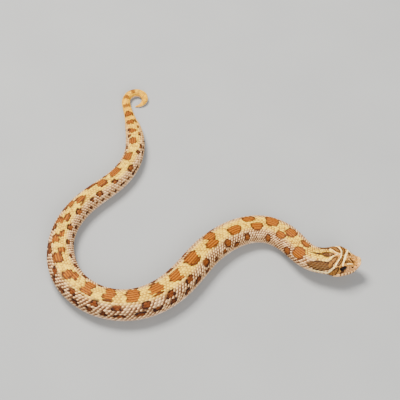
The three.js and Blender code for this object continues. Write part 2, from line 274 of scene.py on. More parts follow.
full_at = np.repeat(map_at[:, None], 2 * HALF_SHARES + 1, 1)
map_points = in_space(full_at, whole(map_side, -1), whole(map_up, 1))
ring_ways = np.gradient(map_points, axis=1)
ring_ways[:, 0] = ring_ways[:, -1] = map_points[:, 1] - map_points[:, -2]
map_normals = np.cross(ring_ways, np.gradient(map_points, axis=0))
map_normals /= np.linalg.norm(map_normals, axis=-1, keepdims=True) + 1e-9
print("the map holds", map_points.shape[0], "rings of", map_points.shape[1], "points")

# %% [markdown]
# From now on we only ask the map: how far it is round the body, which point belongs to a place on the skin,
# and how far round the head a certain height is reached. The answers are blended from the nearest points of
# the map, which is quick even for hundreds of thousands of places.

# %% Read places off the map
def girth(at):
    """The way round from the middle of the back to the middle of the belly."""
    return np.interp(at, map_at, half_girth)


def on_body(at, share, height=0.0):
    """Points in millimetres at a place of the map and a height over it."""
    at, share = np.broadcast_arrays(np.asarray(at, float), np.asarray(share, float))
    i = np.clip(at / STEP, 0, len(map_at) - 1.001)
    j = ((share + 1) / 2 % 1) * 2 * HALF_SHARES
    i0, j0 = i.astype(int), np.minimum(j.astype(int), 2 * HALF_SHARES - 1)
    ti, tj = (i - i0)[..., None], (j - j0)[..., None]

    def blend(grid):
        near = grid[i0, j0] * (1 - tj) + grid[i0, j0 + 1] * tj
        far = grid[i0 + 1, j0] * (1 - tj) + grid[i0 + 1, j0 + 1] * tj
        return near * (1 - ti) + far * ti

    return blend(map_points) + blend(map_normals) * np.asarray(height, float)[..., None]


def share_at_height(at, up):
    """The share of the way round where the side of the head reaches a height."""
    rows = np.clip(np.rint(np.atleast_1d(at) / STEP).astype(int), 0, len(map_at) - 1)
    levels = np.broadcast_to(up, rows.shape)
    return np.array([np.interp(-u, -map_up[r], shares) for r, u in zip(rows, levels)])


print("the body is", round(2 * float(girth(75)), 1), "mm round at its thickest")

# %% [markdown]
# ## The markings
#
# A hognose has a row of large blotches down its back, one or two rows of smaller ones on each flank and
# bold marks behind the head. Painting them by hand would tie them to one mesh. Instead each mark is a
# rounded lozenge on the skin map, and every point of skin or scale asks how far it is from the edge of the
# nearest mark. Skin and scales then carry the same pattern. The numbers are millimetres: behind the snout,
# across from the mid line (left is positive), length and width.

# %% Blotches down the middle of the back
BACK_BLOTCHES = [
    (18.7, 1.4, 4.4, 2.0), (17.7, -2.2, 3.6, 3.8), (24.7, 0.9, 3.8, 3.5), (26.5, -1.9, 3.8, 2.5),
    (31.4, 1.2, 4.0, 4.3), (35.6, -1.5, 4.2, 3.0), (37.9, 1.6, 3.7, 3.0), (43.1, -0.9, 4.7, 3.3),
    (50.4, 1.5, 3.9, 4.1), (51.9, -0.8, 4.6, 2.9), (60.0, 0.4, 5.2, 4.0), (68.0, 0.3, 4.1, 3.9),
    (75.6, 0.2, 4.0, 4.5), (82.7, 0.3, 3.9, 4.8), (89.5, 0.9, 3.6, 5.7), (96.3, 0.4, 3.5, 5.2),
    (103.9, -0.6, 3.3, 3.0), (102.1, 0.6, 2.8, 2.6), (110.7, -1.2, 3.9, 2.9), (113.3, 0.4, 2.7, 2.3),
    (118.0, -1.4, 3.4, 2.5), (119.8, 0.4, 2.7, 2.1), (125.0, -1.7, 2.9, 2.7), (126.5, 0.2, 3.1, 2.0),
    (131.7, -1.8, 3.4, 2.6), (134.5, -0.2, 4.0, 2.6), (140.1, -2.1, 4.5, 2.3), (143.4, -0.4, 3.2, 2.9),
    (149.6, -1.1, 4.1, 3.1), (157.4, -0.8, 3.6, 2.7), (164.4, -0.7, 2.7, 2.7), (169.2, -0.6, 2.1, 3.0),
    (173.9, -0.6, 2.7, 3.5), (178.7, -0.4, 2.5, 3.4),
]
TAIL_BANDS = [(182.9, 0.0, 1.7, 2.6), (186.9, 0.0, 1.6, 2.6), (190.4, -0.3, 1.4, 2.4)]
print(len(BACK_BLOTCHES), "blotches on the back and", len(TAIL_BANDS), "faint bands on the tail")

# %% [markdown]
# The flank marks stand between the blotches of the back, and a row of smaller ones stands below them. Their
# places are listed for one side of each stretch of the body. On the other side they repeat a little lower
# and with a small shift, because the two sides of a real snake are alike but never mirror images. Only the
# lowest row there has places of its own.

# %% Marks on the flanks
RIGHT_FLANK = [
    (20.9, -4.5, 2.4, 2.2), (30.5, -4.7, 2.2, 2.2), (39.9, -4.5, 2.0, 2.2), (47.5, -3.8, 2.3, 2.5),
    (58.3, -3.7, 2.3, 1.9), (66.1, -3.4, 2.3, 1.8), (73.0, -3.6, 2.2, 1.9), (79.7, -3.6, 2.0, 1.9),
    (86.9, -3.6, 2.3, 2.0), (92.6, -3.5, 1.9, 2.0), (99.3, -3.4, 1.9, 2.0), (107.3, -3.4, 2.0, 1.6),
    (114.3, -3.3, 2.0, 1.5),
]
LEFT_FLANK = [
    (106.3, 3.2, 1.6, 1.1), (110.9, 3.0, 1.5, 1.1), (117.1, 2.8, 1.9, 1.3), (123.4, 2.3, 1.9, 1.5),
    (130.5, 2.2, 2.0, 1.7), (137.1, 2.5, 1.2, 1.0), (140.5, 2.4, 1.8, 1.5), (146.9, 1.9, 1.8, 1.5),
    (153.8, 2.1, 1.8, 1.6), (160.1, 1.9, 1.3, 1.1), (162.5, 2.3, 1.7, 1.1), (167.8, 1.6, 1.3, 1.1),
    (171.0, 1.5, 1.0, 0.9),
]
LOW_RIGHT = [
    44.5, 49.9, 54.2, 59.1, 63.7, 68.3, 72.9, 77.1, 81.5, 86.1, 90, 93.5, 97.6, 102.3, 106.1, 110.5, 114.2,
]
LOW_LEFT = [
    118.5, 121.4, 125.3, 128.7, 130.6, 133, 135.4, 138, 140.7, 143.3, 145.7, 148.7, 151.3, 153.7, 155.7,
    158.5, 161.1, 163.1, 165.9,
]
OTHER_LOW_LEFT, OTHER_LOW_RIGHT = np.arange(46, 114, 4.3), np.arange(117, 172, 3.9)
print(len(RIGHT_FLANK + LEFT_FLANK), "large marks and", len(LOW_RIGHT + LOW_LEFT), "low ones are listed")

# %% [markdown]
# For the lowest row only the places along the body are listed. No two of its marks are alike, so seeded
# chance gives each its size and its height on the flank, and they get smaller towards the tail.

# %% Lay the marks of the flanks
LOW_SHARE, LOW_SHARE_VARIES = 0.43, 0.03
SMALLER_FROM, SMALLER_OVER, SMALLER_BY = 118, 25, 0.35
LOW_LENGTHS, LOW_WIDTHS = (0.9, 1.6), (0.8, 1.3)
FULLER_LOW_MARKS = 1.35  # on the right the low marks nearly run together
LOWER_ON_OTHER_SIDE = 1.18
low_rng = np.random.default_rng(5)


def low_marks(places, sign, growth=1.0):
    """The lowest row of marks, in sizes that vary by seeded chance."""
    marks = []
    for at in places:
        share = LOW_SHARE + low_rng.uniform(-LOW_SHARE_VARIES, LOW_SHARE_VARIES)
        size = growth * (1 - SMALLER_BY * float(ease((at - SMALLER_FROM) / SMALLER_OVER)))
        length, width = size * low_rng.uniform(*LOW_LENGTHS), size * low_rng.uniform(*LOW_WIDTHS)
        marks.append((at, sign * share * float(girth(at)), length, width))
    return marks


def other_side(marks, start, end, shift):
    """The marks between two places again, on the other flank."""
    return [
        (at + shift, -across * LOWER_ON_OTHER_SIDE, length, width)
        for at, across, length, width in marks
        if start < at < end
    ]


flank_marks = RIGHT_FLANK + LEFT_FLANK
flank_marks += low_marks(LOW_RIGHT, -1, FULLER_LOW_MARKS) + low_marks(LOW_LEFT, 1)
flank_marks += other_side(RIGHT_FLANK, 15, 104, 1.1) + other_side(LEFT_FLANK, 115, 172, -0.8)
flank_marks += low_marks(OTHER_LOW_LEFT, 1) + low_marks(OTHER_LOW_RIGHT, -1)
print(len(flank_marks), "marks on the flanks")

# %% [markdown]
# The head has brown patches with darker rims, and pale lines between them: a bar across the snout in front
# of the eyes, an arch behind the eyes that runs down to the cheeks, two long marks on the nape and an oval
# between them. A dark stripe runs from the eye down to the lip, and a brown bar marks each seam of the lip.
# A stroke is a line of places with a half width at each, so it can taper.

# %% Patches of the head
def both_sides(name, stroke):
    """A stroke of the right side and its mirror image."""
    return {name + ", right": stroke, name + ", left": [(at, -across, half) for at, across, half in stroke]}


HEAD_PATCHES = {
    "nape, right": [
        (8.9, -3.7, 0.4), (9.5, -3.7, 0.85), (10.4, -3.75, 1.35), (11.4, -3.8, 1.55), (12.3, -3.85, 1.5),
        (13.2, -3.8, 1.1), (14.0, -3.95, 0.55), (14.8, -4.1, 0.1),
    ],
    "nape, left": [
        (9.0, 3.5, 0.5), (10.4, 3.6, 1.3), (12.0, 3.75, 1.6), (13.3, 3.8, 1.1), (14.9, 3.9, 0.1),
    ],
    "middle of the nape": [(8.7, 0.22, 0.45), (9.5, 0.2, 0.85), (10.6, 0.15, 0.9), (11.5, 0.1, 0.55)],
    "thin tail of the middle mark": [(11.6, 0.08, 0.25), (13.4, 0.0, 0.2), (15.2, -0.3, 0.16)],
    "behind the crown, right": [(7.5, -0.7, 0.3), (8.0, -1.4, 0.68), (8.7, -2.3, 0.8), (9.4, -3.1, 0.85)],
    "behind the crown, left": [(6.9, 1.3, 0.35), (7.4, 1.95, 0.75), (8.1, 2.7, 0.8), (8.9, 3.3, 0.8)],
    **both_sides("cheek", [
        (7.2, -4.5, 0.5), (7.6, -5.1, 0.85), (8.3, -5.9, 1.05), (9.0, -6.6, 0.85), (9.6, -7.4, 0.5),
    ]),
    "brow, right": [(5.75, -0.3, 0.35), (6.1, -1.4, 0.45), (6.5, -2.5, 0.48), (7.0, -3.3, 0.45)],
    "brow, left": [(5.6, 0.6, 0.4), (5.5, 1.6, 0.5), (5.6, 2.5, 0.55), (6.0, 3.3, 0.5)],
    "olive patch of the snout": [(3.9, -1.3, 0.45), (4.7, -1.7, 0.45), (5.0, -2.2, 0.35)],
    "dark spot of the snout, left": [(4.05, 1.75, 0.36), (3.8, 1.2, 0.42)],
    "dark spot of the snout, middle": [(3.5, -0.2, 0.26), (2.85, -0.8, 0.38)],
    "spot before the left eye": [(3.6, 2.4, 0.3), (4.2, 3.0, 0.25)],
}
print(len(HEAD_PATCHES), "patches on the head")

# %% [markdown]
# The pale lines and the stripes below the eyes are strokes as well. A few places are enough for each: the
# distance to a line of straight lengths is easy to work out, and a little noise will hide its corners.

# %% Pale lines and eye stripes
PALE_LINES = {
    "bar in front of the eyes": [
        (5.8, -3.5, 0.16), (5.6, -2.3, 0.19), (5.2, -0.8, 0.27), (5.0, 0.3, 0.25), (4.6, 1.5, 0.24),
        (4.2, 2.65, 0.3),
    ],
    "arch, right": [
        (6.1, 0.6, 0.08), (6.3, -0.4, 0.1), (6.8, -1.5, 0.13), (7.4, -2.5, 0.17), (7.8, -3.4, 0.2),
        (8.5, -4.4, 0.19), (9.4, -5.5, 0.2), (10.2, -6.4, 0.3),
    ],
    "arch, left": [
        (6.1, 0.6, 0.08), (6.1, 1.8, 0.12), (6.8, 2.9, 0.16), (7.7, 3.8, 0.18), (9.2, 5.4, 0.2),
        (10.2, 6.4, 0.3),
    ],
    "inner line, right": [
        (6.5, 0.6, 0.08), (7.8, 0.1, 0.08), (8.8, -0.6, 0.1), (9.8, -1.45, 0.13), (10.6, -1.95, 0.1),
    ],
    "inner line, left": [
        (6.5, 0.75, 0.08), (7.4, 0.7, 0.07), (8.1, 1.15, 0.09), (8.8, 1.8, 0.11), (9.8, 2.1, 0.1),
    ],
    "edge of the snout, right": [(3.0, -1.7, 0.08), (3.8, -2.1, 0.12), (4.4, -2.5, 0.1)],
    "edge of the snout, left": [(3.0, 1.9, 0.08), (3.6, 2.2, 0.12), (4.2, 2.6, 0.1)],
    **both_sides("below the nape mark", [
        (10.3, -6.15, 0.3), (11.4, -5.9, 0.28), (12.8, -5.8, 0.25), (14.0, -5.4, 0.2),
    ]),
}
EYE_STRIPES = both_sides("below the eye", [(5.4, -4.9, 0.3), (5.6, -5.7, 0.45), (6.2, -6.4, 0.35)])
print(len(PALE_LINES), "pale lines and", len(EYE_STRIPES), "stripes below the eyes")

# %% [markdown]
# Real blotches have ragged edges that follow the scales. A little seeded noise will push each edge in and
# out. We could take it from a picture, but a small board of random numbers that is blended smoothly between
# its squares does the same and is always at hand.

# %% Soft noise from a small board
BOARD = 64
noise_board = np.random.default_rng(11).uniform(-1, 1, (BOARD, BOARD))


def soft_noise(x, y):
    """Noise between -1 and 1 that changes over one unit of x or y and repeats after the whole board."""
    x, y = np.asarray(x) % BOARD, np.asarray(y) % BOARD
    i, j = x.astype(int) % BOARD, y.astype(int) % BOARD
    tx, ty = ease(x - np.floor(x)), ease(y - np.floor(y))
    k, m = (i + 1) % BOARD, (j + 1) % BOARD
    low = noise_board[i, j] * (1 - tx) + noise_board[k, j] * tx
    high = noise_board[i, m] * (1 - tx) + noise_board[k, m] * tx
    return low * (1 - ty) + high * ty


print("the noise at one corner of the board is", round(float(soft_noise(0, 0)), 2))

# %% [markdown]
# A mark is never drawn. For any place on the skin we work out how far it is from the edge of the nearest
# mark, and the paint turns that distance into a rim and an inside. The marks are oval behind the head and
# almost square from the middle of the body, and those of one stretch lean. Small marks and those of the
# neck get less of the noise and stay whole.

# %% How far a place is from the edge of a mark
FAR = 9.0  # further than any edge that the paint looks for
ROUND_MARK, SQUARE_MARK, SQUARER_FROM = 2.3, 3.8, 45
LEAST_RAGGED, RAGGED_FROM = 0.4, 35
CHANGE_OVER = 35  # over this length the marks turn from round to square and from whole to ragged
MOST_LEAN, LEAN_AROUND, LEAN_OVER = 0.34, 66, 14  # the right ends of leaning marks lie further back


def edge_of_lozenges(at, across, marks, ragged):
    """Distance in millimetres to the edge of the nearest mark, negative inside it."""
    nearest = np.full(np.shape(at), FAR)
    for place, shift, length, width in marks:
        squarer = float(ease((place - SQUARER_FROM) / CHANGE_OVER))
        squareness = ROUND_MARK + (SQUARE_MARK - ROUND_MARK) * squarer
        lean = MOST_LEAN * bump(place - LEAN_AROUND, LEAN_OVER) * (across - shift)
        dx, dy = np.abs(at - place + lean) / (length / 2), np.abs(across - shift) / (width / 2)
        reach = (dx**squareness + dy**squareness) ** (1 / squareness)
        size = min(length, width) / 2
        more_ragged = float(ease((place - RAGGED_FROM) / CHANGE_OVER))
        combed = min(size / 2, 1) ** 1.5 * (LEAST_RAGGED + (1 - LEAST_RAGGED) * more_ragged)
        nearest = np.minimum(nearest, (reach - 1) * size + ragged * combed)
    return nearest


def edge_of_strokes(at, across, strokes):
    """The same for lines of places with a half width at each."""
    nearest = np.full(np.shape(at), FAR)
    for stroke in strokes.values():
        for (x0, y0, r0), (x1, y1, r1) in zip(stroke, stroke[1:]):
            squared = (x1 - x0) ** 2 + (y1 - y0) ** 2
            along = np.clip(((at - x0) * (x1 - x0) + (across - y0) * (y1 - y0)) / squared, 0, 1)
            gap = np.hypot(at - x0 - along * (x1 - x0), across - y0 - along * (y1 - y0))
            nearest = np.minimum(nearest, gap - r0 - along * (r1 - r0))
    return nearest


trial_edge = edge_of_lozenges(np.array([75.4]), np.array([0.2]), BACK_BLOTCHES, 0.0)
print("the edge of a blotch is", round(-float(trial_edge[0]), 2), "mm from its middle")

# %% [markdown]
# Now all markings come together in one function that skin and scales both ask. The noise changes fast from
# row to row of the scales and slowly along them, so that the two ends of a blotch look combed. The dark rim
# of a flank mark spreads a little over its outline.

# %% Everything that the paint needs to know
RAGGED_BY, RAGGED_FINELY_BY = 0.7, 0.1
FLANK_MARK_GROWTH, LESS_GROWTH_FROM, LESS_GROWTH_OVER, LESS_GROWTH_BY = 0.18, 105, 20, 0.4


def markings(at, share):
    """Named values for places of the skin; the sums inside the noise only pick other parts of its board."""
    share = (share + 1) % 2 - 1
    across = share * girth(at)
    ragged = RAGGED_BY * soft_noise(at * 0.3 + 7, across * 1.5 + 31)
    ragged = ragged + RAGGED_FINELY_BY * soft_noise(at * 2 + 3, across * 4 + 17)
    fine = RAGGED_FINELY_BY * soft_noise(at * 4, across * 4 + 9)
    less_growth = LESS_GROWTH_BY * ease((at - LESS_GROWTH_FROM) / LESS_GROWTH_OVER)
    growth = FLANK_MARK_GROWTH * (1 - less_growth)
    return {
        "back_mark": edge_of_lozenges(at, across, BACK_BLOTCHES, ragged),
        "tail_band": edge_of_lozenges(at, across, TAIL_BANDS, ragged),
        "flank_mark": edge_of_lozenges(at, across, flank_marks, ragged) - growth,
        "head_patch": edge_of_strokes(at, across, HEAD_PATCHES) + fine,
        "pale_line": edge_of_strokes(at, across, PALE_LINES) + fine,
        "eye_stripe": edge_of_strokes(at, across, EYE_STRIPES) + fine,
        "down_flank": np.abs(share),
        "behind_snout": at,
    }


trial = markings(np.array([75.4]), np.array([0.0]))
print("skin and scales carry the values", ", ".join(trial))

# %% [markdown]
# ## Plates of the head
#
# A hognose wears large smooth plates on its head: the upturned shield of the snout, a shield on the crown
# with a long brow plate on each side, a pair behind them, eight lip plates above the mouth and as many
# below. Drawing every seam would take long lists. Instead each plate grows from one or a few seed points,
# and a seam forms where two plates meet, as in a drying pond. A larger radius lets a seed claim more
# ground.

# %% Seeds of the named plates
TOP_PLATES = {
    "snout shield": [(0.5, 0, 0.9), (1.1, 0, 1.0), (1.6, 0, 0.7), (0.8, 1.2, 0.8), (0.8, -1.2, 0.8)],
    "small plate behind the shield": [(2.35, 0, 0.5)],
    "small plates of the snout": [(2.95, 0.0, 0.4)],
    "shield of the crown": [(5.0, 0, 1.15), (5.9, 0, 1.0), (6.7, 0, 0.7)],
}
PAIRED_TOP_PLATES = {
    "inner nose plate": [(2.1, 1.15, 0.62)],
    "small side plate": [(2.9, 0.75, 0.42)],
    "front plate": [(3.7, 0.85, 0.85), (3.75, 1.9, 0.55)],
    "brow plate": [(4.7, 2.45, 0.75), (5.6, 2.6, 0.85), (6.5, 2.75, 0.75)],
    "rear crown plate": [(7.7, 1.25, 1.15), (8.5, 1.35, 1.0)],
    "plate in front of the nostril": [(2.0, 2.1, 0.42)],
    "plate behind the nostril": [(3.45, 2.75, 0.42)],
}
UPPER_LIP = [1.35, 2.1, 2.9, 3.75, 4.65, 5.6, 6.65, 7.9]
LOWER_LIP = [1.6, 2.4, 3.2, 4.1, 5.0, 6.0, 7.1, 8.2]
LIP_RADIUS = 0.5
CHIN_PLATES = {
    "front chin plate": [(2.6, 0.55, 0.7), (3.4, 0.6, 0.6)],
    "rear chin plate": [(4.5, 0.6, 0.6), (5.2, 0.7, 0.5)],
}
CHIN_TIP = [(1.25, 1.0, 0.4)]
EYE_AT, EYE_UP = 5.5, 3.72
EYE_RING, EYE_RING_PLATES, EYE_RING_RADIUS = 1.42, 13, 0.3
RING_ENDS = 0.55  # above this height in the ring the long brow plate takes over
print(len(UPPER_LIP), "plates on each side of the upper lip and", len(LOWER_LIP), "on the lower")

# %% [markdown]
# The lists above are in millimetres from the middle line, or in heights over the mouth. The skin map counts
# in shares of the way round, so each seed is turned into its share, and every paired plate is set on both
# sides.

# %% Put the seeds on the skin map
def plate_seeds():
    """Seeds as rows of distance behind the snout, share round, radius and the number of their plate."""
    seeds, number = [], 0

    def add(points, mirrored=True):
        nonlocal number
        for sign in (1, -1) if mirrored else (1,):
            for at, share, radius in points:
                seeds.append((at, sign * share, radius, number))
            number += 1

    for points in TOP_PLATES.values():
        add([(at, c / float(girth(at)), r) for at, c, r in points], False)
    for points in PAIRED_TOP_PLATES.values():
        add([(at, c / float(girth(at)), r) for at, c, r in points])
    for points in CHIN_PLATES.values():
        add([(at, 1 - c / float(girth(at)), r) for at, c, r in points])
    for row, offset in ((UPPER_LIP, LIP_OFFSET), (LOWER_LIP, -LIP_OFFSET)):
        for at in row:
            add([(at, share_at_height(at, float(mouth_at(at)) + offset)[0], LIP_RADIUS)])
    add(CHIN_TIP, False)
    eye_share = share_at_height(EYE_AT, EYE_UP)[0]
    for k in range(EYE_RING_PLATES):
        turn = 2 * math.pi * k / EYE_RING_PLATES
        if math.sin(turn) < RING_ENDS:
            at = EYE_AT + EYE_RING * math.cos(turn)
            add([(at, eye_share - EYE_RING * math.sin(turn) / float(girth(at)), EYE_RING_RADIUS)])
    return seeds, number


named_seeds, plate_count = plate_seeds()
print(plate_count, "named plates from", len(named_seeds), "seeds")

# %% [markdown]
# The temples, the face between nostril and eye and the throat carry small scales. We lay a staggered field
# of seeds over the whole head and keep those that stand clear of every named plate.

# %% Fill the rest of the head with small scales
SMALL_FROM, SMALL_TO, FILL_STEP = 1.6, 12.6, 0.72
ROW_STEP, KEPT_CLEAR, FILL_RADIUS = 0.85, 0.42, 0.4  # in shares of the step


def small_scale_seeds(named, number):
    """Staggered seeds for both sides, as rows like those of the named plates."""
    named_points = on_body([s[0] for s in named], [s[1] for s in named])
    clear = np.array([s[2] for s in named]) + FILL_STEP * KEPT_CLEAR
    radius = FILL_STEP * FILL_RADIUS
    rows = []
    for i, at in enumerate(np.arange(SMALL_FROM, SMALL_TO, FILL_STEP * ROW_STEP)):
        count = round(float(girth(at)) / FILL_STEP)
        for k in range(count):
            share = (k + 0.5 * (i % 2) + 0.25) / count
            point = on_body(at, share)
            if np.all(np.linalg.norm(named_points - point, axis=1) > clear):
                rows += [(at, share, radius, number), (at, -share, radius, number + 1)]
                number += 2
    return rows, number


small_seeds, plate_count = small_scale_seeds(named_seeds, plate_count)
seeds = np.array(named_seeds + small_seeds)
print(len(small_seeds), "small scales on the face, the temples and the throat")

# %% [markdown]
# For each point of the head we find the two plates that claim it most strongly. Where their claims are
# equal there is a seam. The skin sinks into a narrow groove there and swells gently in the middle of each
# plate.

# %% Relief of the plates
SEAM_DEPTH, SEAM_HALF_WIDTH = 0.065, 0.055
PLATE_SWELL, SWELL_OVER = 0.05, 0.3
AT_ONCE = 8000  # points worked out together, so that the table of claims stays small


def seam_distance(points):
    """Distance from each point to the nearest seam, and the number of the plate it is on."""
    seed_points = on_body(seeds[:, 0], seeds[:, 1])
    owners = seeds[:, 3].astype(int)
    gap, plate = np.empty(len(points)), np.empty(len(points), int)
    for start in range(0, len(points), AT_ONCE):
        part = points[start : start + AT_ONCE]
        claim = ((part[:, None] - seed_points[None]) ** 2).sum(-1) - seeds[None, :, 2] ** 2
        first = claim.argmin(1)
        rows = np.arange(len(part))
        others = np.where(owners[None] == owners[first][:, None], np.inf, claim)
        second = others.argmin(1)
        apart = np.linalg.norm(seed_points[first] - seed_points[second], axis=1)
        gap[start : start + AT_ONCE] = (others[rows, second] - claim[rows, first]) / (2 * apart)
        plate[start : start + AT_ONCE] = owners[first]
    return gap, plate


crown_gap, _ = seam_distance(on_body([EYE_AT], [0.0]))
print("the middle of the crown is", round(float(crown_gap[0]), 2), "mm from the nearest seam")

# %% [markdown]
# Under the loose scales of the body the skin lies deeper, by the thickness of that coat. The coat starts
# behind the rear crown plates, and a little further back on the throat, where the wide belly plates begin.

# %% How deep the skin lies under the coat
COAT_DEPTH = 0.14
COAT_START, BELLY_START, COAT_FADE = 9.1, 12.0, 0.8
BELLY_EDGE, BELLY_EDGE_FADE = 0.70, 0.05  # shares of the way round


def coat_depth(at, share):
    """How far the skin is sunk, in millimetres."""
    on_belly = ease((np.abs((share + 1) % 2 - 1) - BELLY_EDGE) / BELLY_EDGE_FADE)
    start = COAT_START + (BELLY_START - COAT_START) * on_belly
    return COAT_DEPTH * ease((at - start) / COAT_FADE)


for at in (8, 9.5, 20):
    print("the skin is sunk by", round(float(coat_depth(at, 0)), 2), "mm at", at, "mm behind the snout")

# %% [markdown]
# The eye lies in an orbit and the nostril is a small pit. Both are egg-shaped hollows pressed into the
# skin. An egg has a place, three half sizes, a yaw that turns its rear end outwards and a roll that leans
# its top outwards.

# %% Eggs: orbit, eye and nostril
EGGS = {
    "eye": ((5.5, 2.6, 3.74), (1.0, 0.95, 1.0), 18, -12),
    "orbit": ((5.48, 3.46, 3.72), (1.2, 0.42, 1.02), 20, -14),
    "nostril": ((2.82, 2.36, 3.06), (0.36, 0.42, 0.26), 30, -30),
}
# Shares of the egg's own size: where the pressed rim and the dark stain around it end, and how softly.
RIM_END, RIM_FADE = 1.06, 0.22
STAIN_END, STAIN_FADE = 1.25, 0.5
WIDEST_WALL, SAME_SIDE = 0.97, 4


def egg_frame(name, sign):
    """Centre, turning matrix and half sizes of an egg; on the left its second axis points outwards."""
    (back, side, up), sizes, yaw, roll = EGGS[name]
    tilt = -sign * math.radians(roll)
    turn = float(heading_at(back)) - math.pi - sign * math.radians(yaw)
    lean = np.array([[1, 0, 0], [0, math.cos(tilt), -math.sin(tilt)], [0, math.sin(tilt), math.cos(tilt)]])
    spin = np.array([[math.cos(turn), -math.sin(turn), 0], [math.sin(turn), math.cos(turn), 0], [0, 0, 1]])
    return in_space(np.array(back), sign * side, up), spin @ lean, np.array(sizes)


def press(points, name, sign):
    """Presses an egg into points and returns how near its middle each point is, from 0 outside to 1."""
    centre, turned, sizes = egg_frame(name, sign)
    local = (points - centre) @ turned / sizes
    radius = np.hypot(local[:, 0], local[:, 2])
    outwards = local[:, 1] * sign
    wall = -np.sqrt(np.clip(1 - np.minimum(radius, WIDEST_WALL) ** 2, 0, 1))
    inside = (outwards > wall) & (np.abs(outwards) < SAME_SIDE)
    outwards = outwards + (wall - outwards) * ease((RIM_END - radius) / RIM_FADE) * inside
    local[:, 1] = outwards * sign
    stain = ease((STAIN_END - radius) / STAIN_FADE) * (np.abs(outwards) < SAME_SIDE)
    return (local * sizes) @ turned.T + centre, stain


for name in EGGS:
    print(name, "lies at", np.round(egg_frame(name, -1)[0], 2), "mm on the right side")

# %% [markdown]
# ## Turning arrays into pieces
#
# Every piece is built the same way: points in millimetres, faces as lists of point numbers, named values
# for the paint and a flat map for baking. One helper keeps that in one place.

# %% A helper that makes a mesh piece
MAP_HEIGHT = 0.98  # the rest of the flat map takes the faces that run across its edge


def make_piece(name, points, faces, values, flat_map, replaces=()):
    """A smooth mesh object from arrays, with named values on its points."""
    mesh = bpy.data.meshes.new(name)
    mesh.from_pydata((points * MM).tolist(), [], faces)
    mesh.polygons.foreach_set("use_smooth", [True] * len(mesh.polygons))
    for key, value in values.items():
        layer = mesh.attributes.new(key, "FLOAT", "POINT")
        layer.data.foreach_set("value", np.asarray(value, np.float32))
    corner_points = np.empty(len(mesh.loops), int)
    mesh.loops.foreach_get("vertex_index", corner_points)
    corners = flat_map[corner_points].astype(np.float32)
    starts, counts = np.empty(len(mesh.polygons), int), np.empty(len(mesh.polygons), int)
    mesh.polygons.foreach_get("loop_start", starts)
    mesh.polygons.foreach_get("loop_total", counts)
    height = np.maximum.reduceat(corners[:, 1], starts) - np.minimum.reduceat(corners[:, 1], starts)
    crosses = np.repeat(height > 0.5, counts)
    corners[crosses & (corners[:, 1] < 0.5), 1] += 1
    corners[:, 1] *= MAP_HEIGHT
    mesh.uv_layers.new(name="OFBake").data.foreach_set("uv", corners.ravel())
    piece = bpy.data.objects.new(name, mesh)
    bpy.context.collection.objects.link(piece)
    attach(piece, "root")
    if replaces:
        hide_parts(*replaces)
    print(name, "has", len(points), "points and", int((counts - 2).sum()), "triangles")
    return piece


# %% [markdown]
# ## The skin
#
# One skin runs from the snout to the tail, so no seam shows where the CAD lengths meet. The head needs far
# more points than the body, because its plates are carved into it. So the skin has a fine part and a coarse
# part, and one ring of wide faces joins them under the scales of the neck.

# %% Rings of the skin
HEAD_RINGS, HEAD_COLUMNS = 222, 360
CROWDING = 1.25  # the rings of the head stand closer together at the snout
FINE_END, LAST_STEP = 15.0, 0.3
BODY_RING_STEP = 1.0
COLUMN_RATIO = 4


def shares_round(columns):
    return np.arange(columns) / columns * 2 - 1


ring_at = SNOUT_TIP + (FINE_END - SNOUT_TIP) * np.linspace(0, 1, HEAD_RINGS) ** CROWDING
fine_at, fine_share = np.meshgrid(ring_at, shares_round(HEAD_COLUMNS), indexing="ij")
body_ring_at = np.arange(FINE_END + BODY_RING_STEP, TOTAL_LENGTH - LAST_STEP, BODY_RING_STEP)
body_ring_at = np.append(body_ring_at, TOTAL_LENGTH)
body_columns = HEAD_COLUMNS // COLUMN_RATIO
coarse_at, coarse_share = np.meshgrid(body_ring_at, shares_round(body_columns), indexing="ij")
print(len(ring_at), "rings on the head and", len(body_ring_at), "on the body")

# %% [markdown]
# The relief of the head is worked out as a height over the map: plates swell, seams sink, and the line of
# the mouth is one deeper groove that runs right round the lower jaw. The orbit and the nostril are pressed
# in last.

# %% Carve the head
MOUTH_DEPTH, MOUTH_HALF_WIDTH, MOUTH_SPAN = 0.16, 0.06, (0.7, 9.1, 0.3)
RELIEF_SPAN = (-0.4, 13, 0.5)
flat_at, flat_share = fine_at.ravel(), fine_share.ravel()
plain = on_body(flat_at, flat_share)
seam_gap, plate_of = seam_distance(plain)
lifted = plain[:, 2] - in_space(flat_at, 0, 0)[:, 2]
bare = 1 - coat_depth(flat_at, flat_share) / COAT_DEPTH
over_mouth = lifted - mouth_at(flat_at)
relief = PLATE_SWELL * (1 - np.exp(-seam_gap / SWELL_OVER)) - SEAM_DEPTH * bump(seam_gap, SEAM_HALF_WIDTH)
mouth = bump(over_mouth, MOUTH_HALF_WIDTH) * presence(flat_at, *MOUTH_SPAN)
height = relief * bare * presence(flat_at, *RELIEF_SPAN)
height = height - coat_depth(flat_at, flat_share) - MOUTH_DEPTH * mouth
head_points = on_body(flat_at, flat_share, height)
hollow = np.zeros(len(head_points))
for sign in (1, -1):
    for egg in ("orbit", "nostril"):
        head_points, nearness = press(head_points, egg, sign)
        hollow = np.maximum(hollow, nearness)
print("the deepest seam is", round(float(-relief.min()), 3), "mm deep")

# %% [markdown]
# The two open ends of this tube would look cut off. A few shrinking rings round off the snout and the tail
# tip. Where the coat gets thin at the end of the tail, the skin comes up to its full size again.

# %% Round off both ends
CAP_SHRINK = [0.3, 0.62, 0.86]
NOSE_BULGE, TAIL_BULGE = 0.1, 0.45
COAT_END, COAT_END_FADE = 201, 8


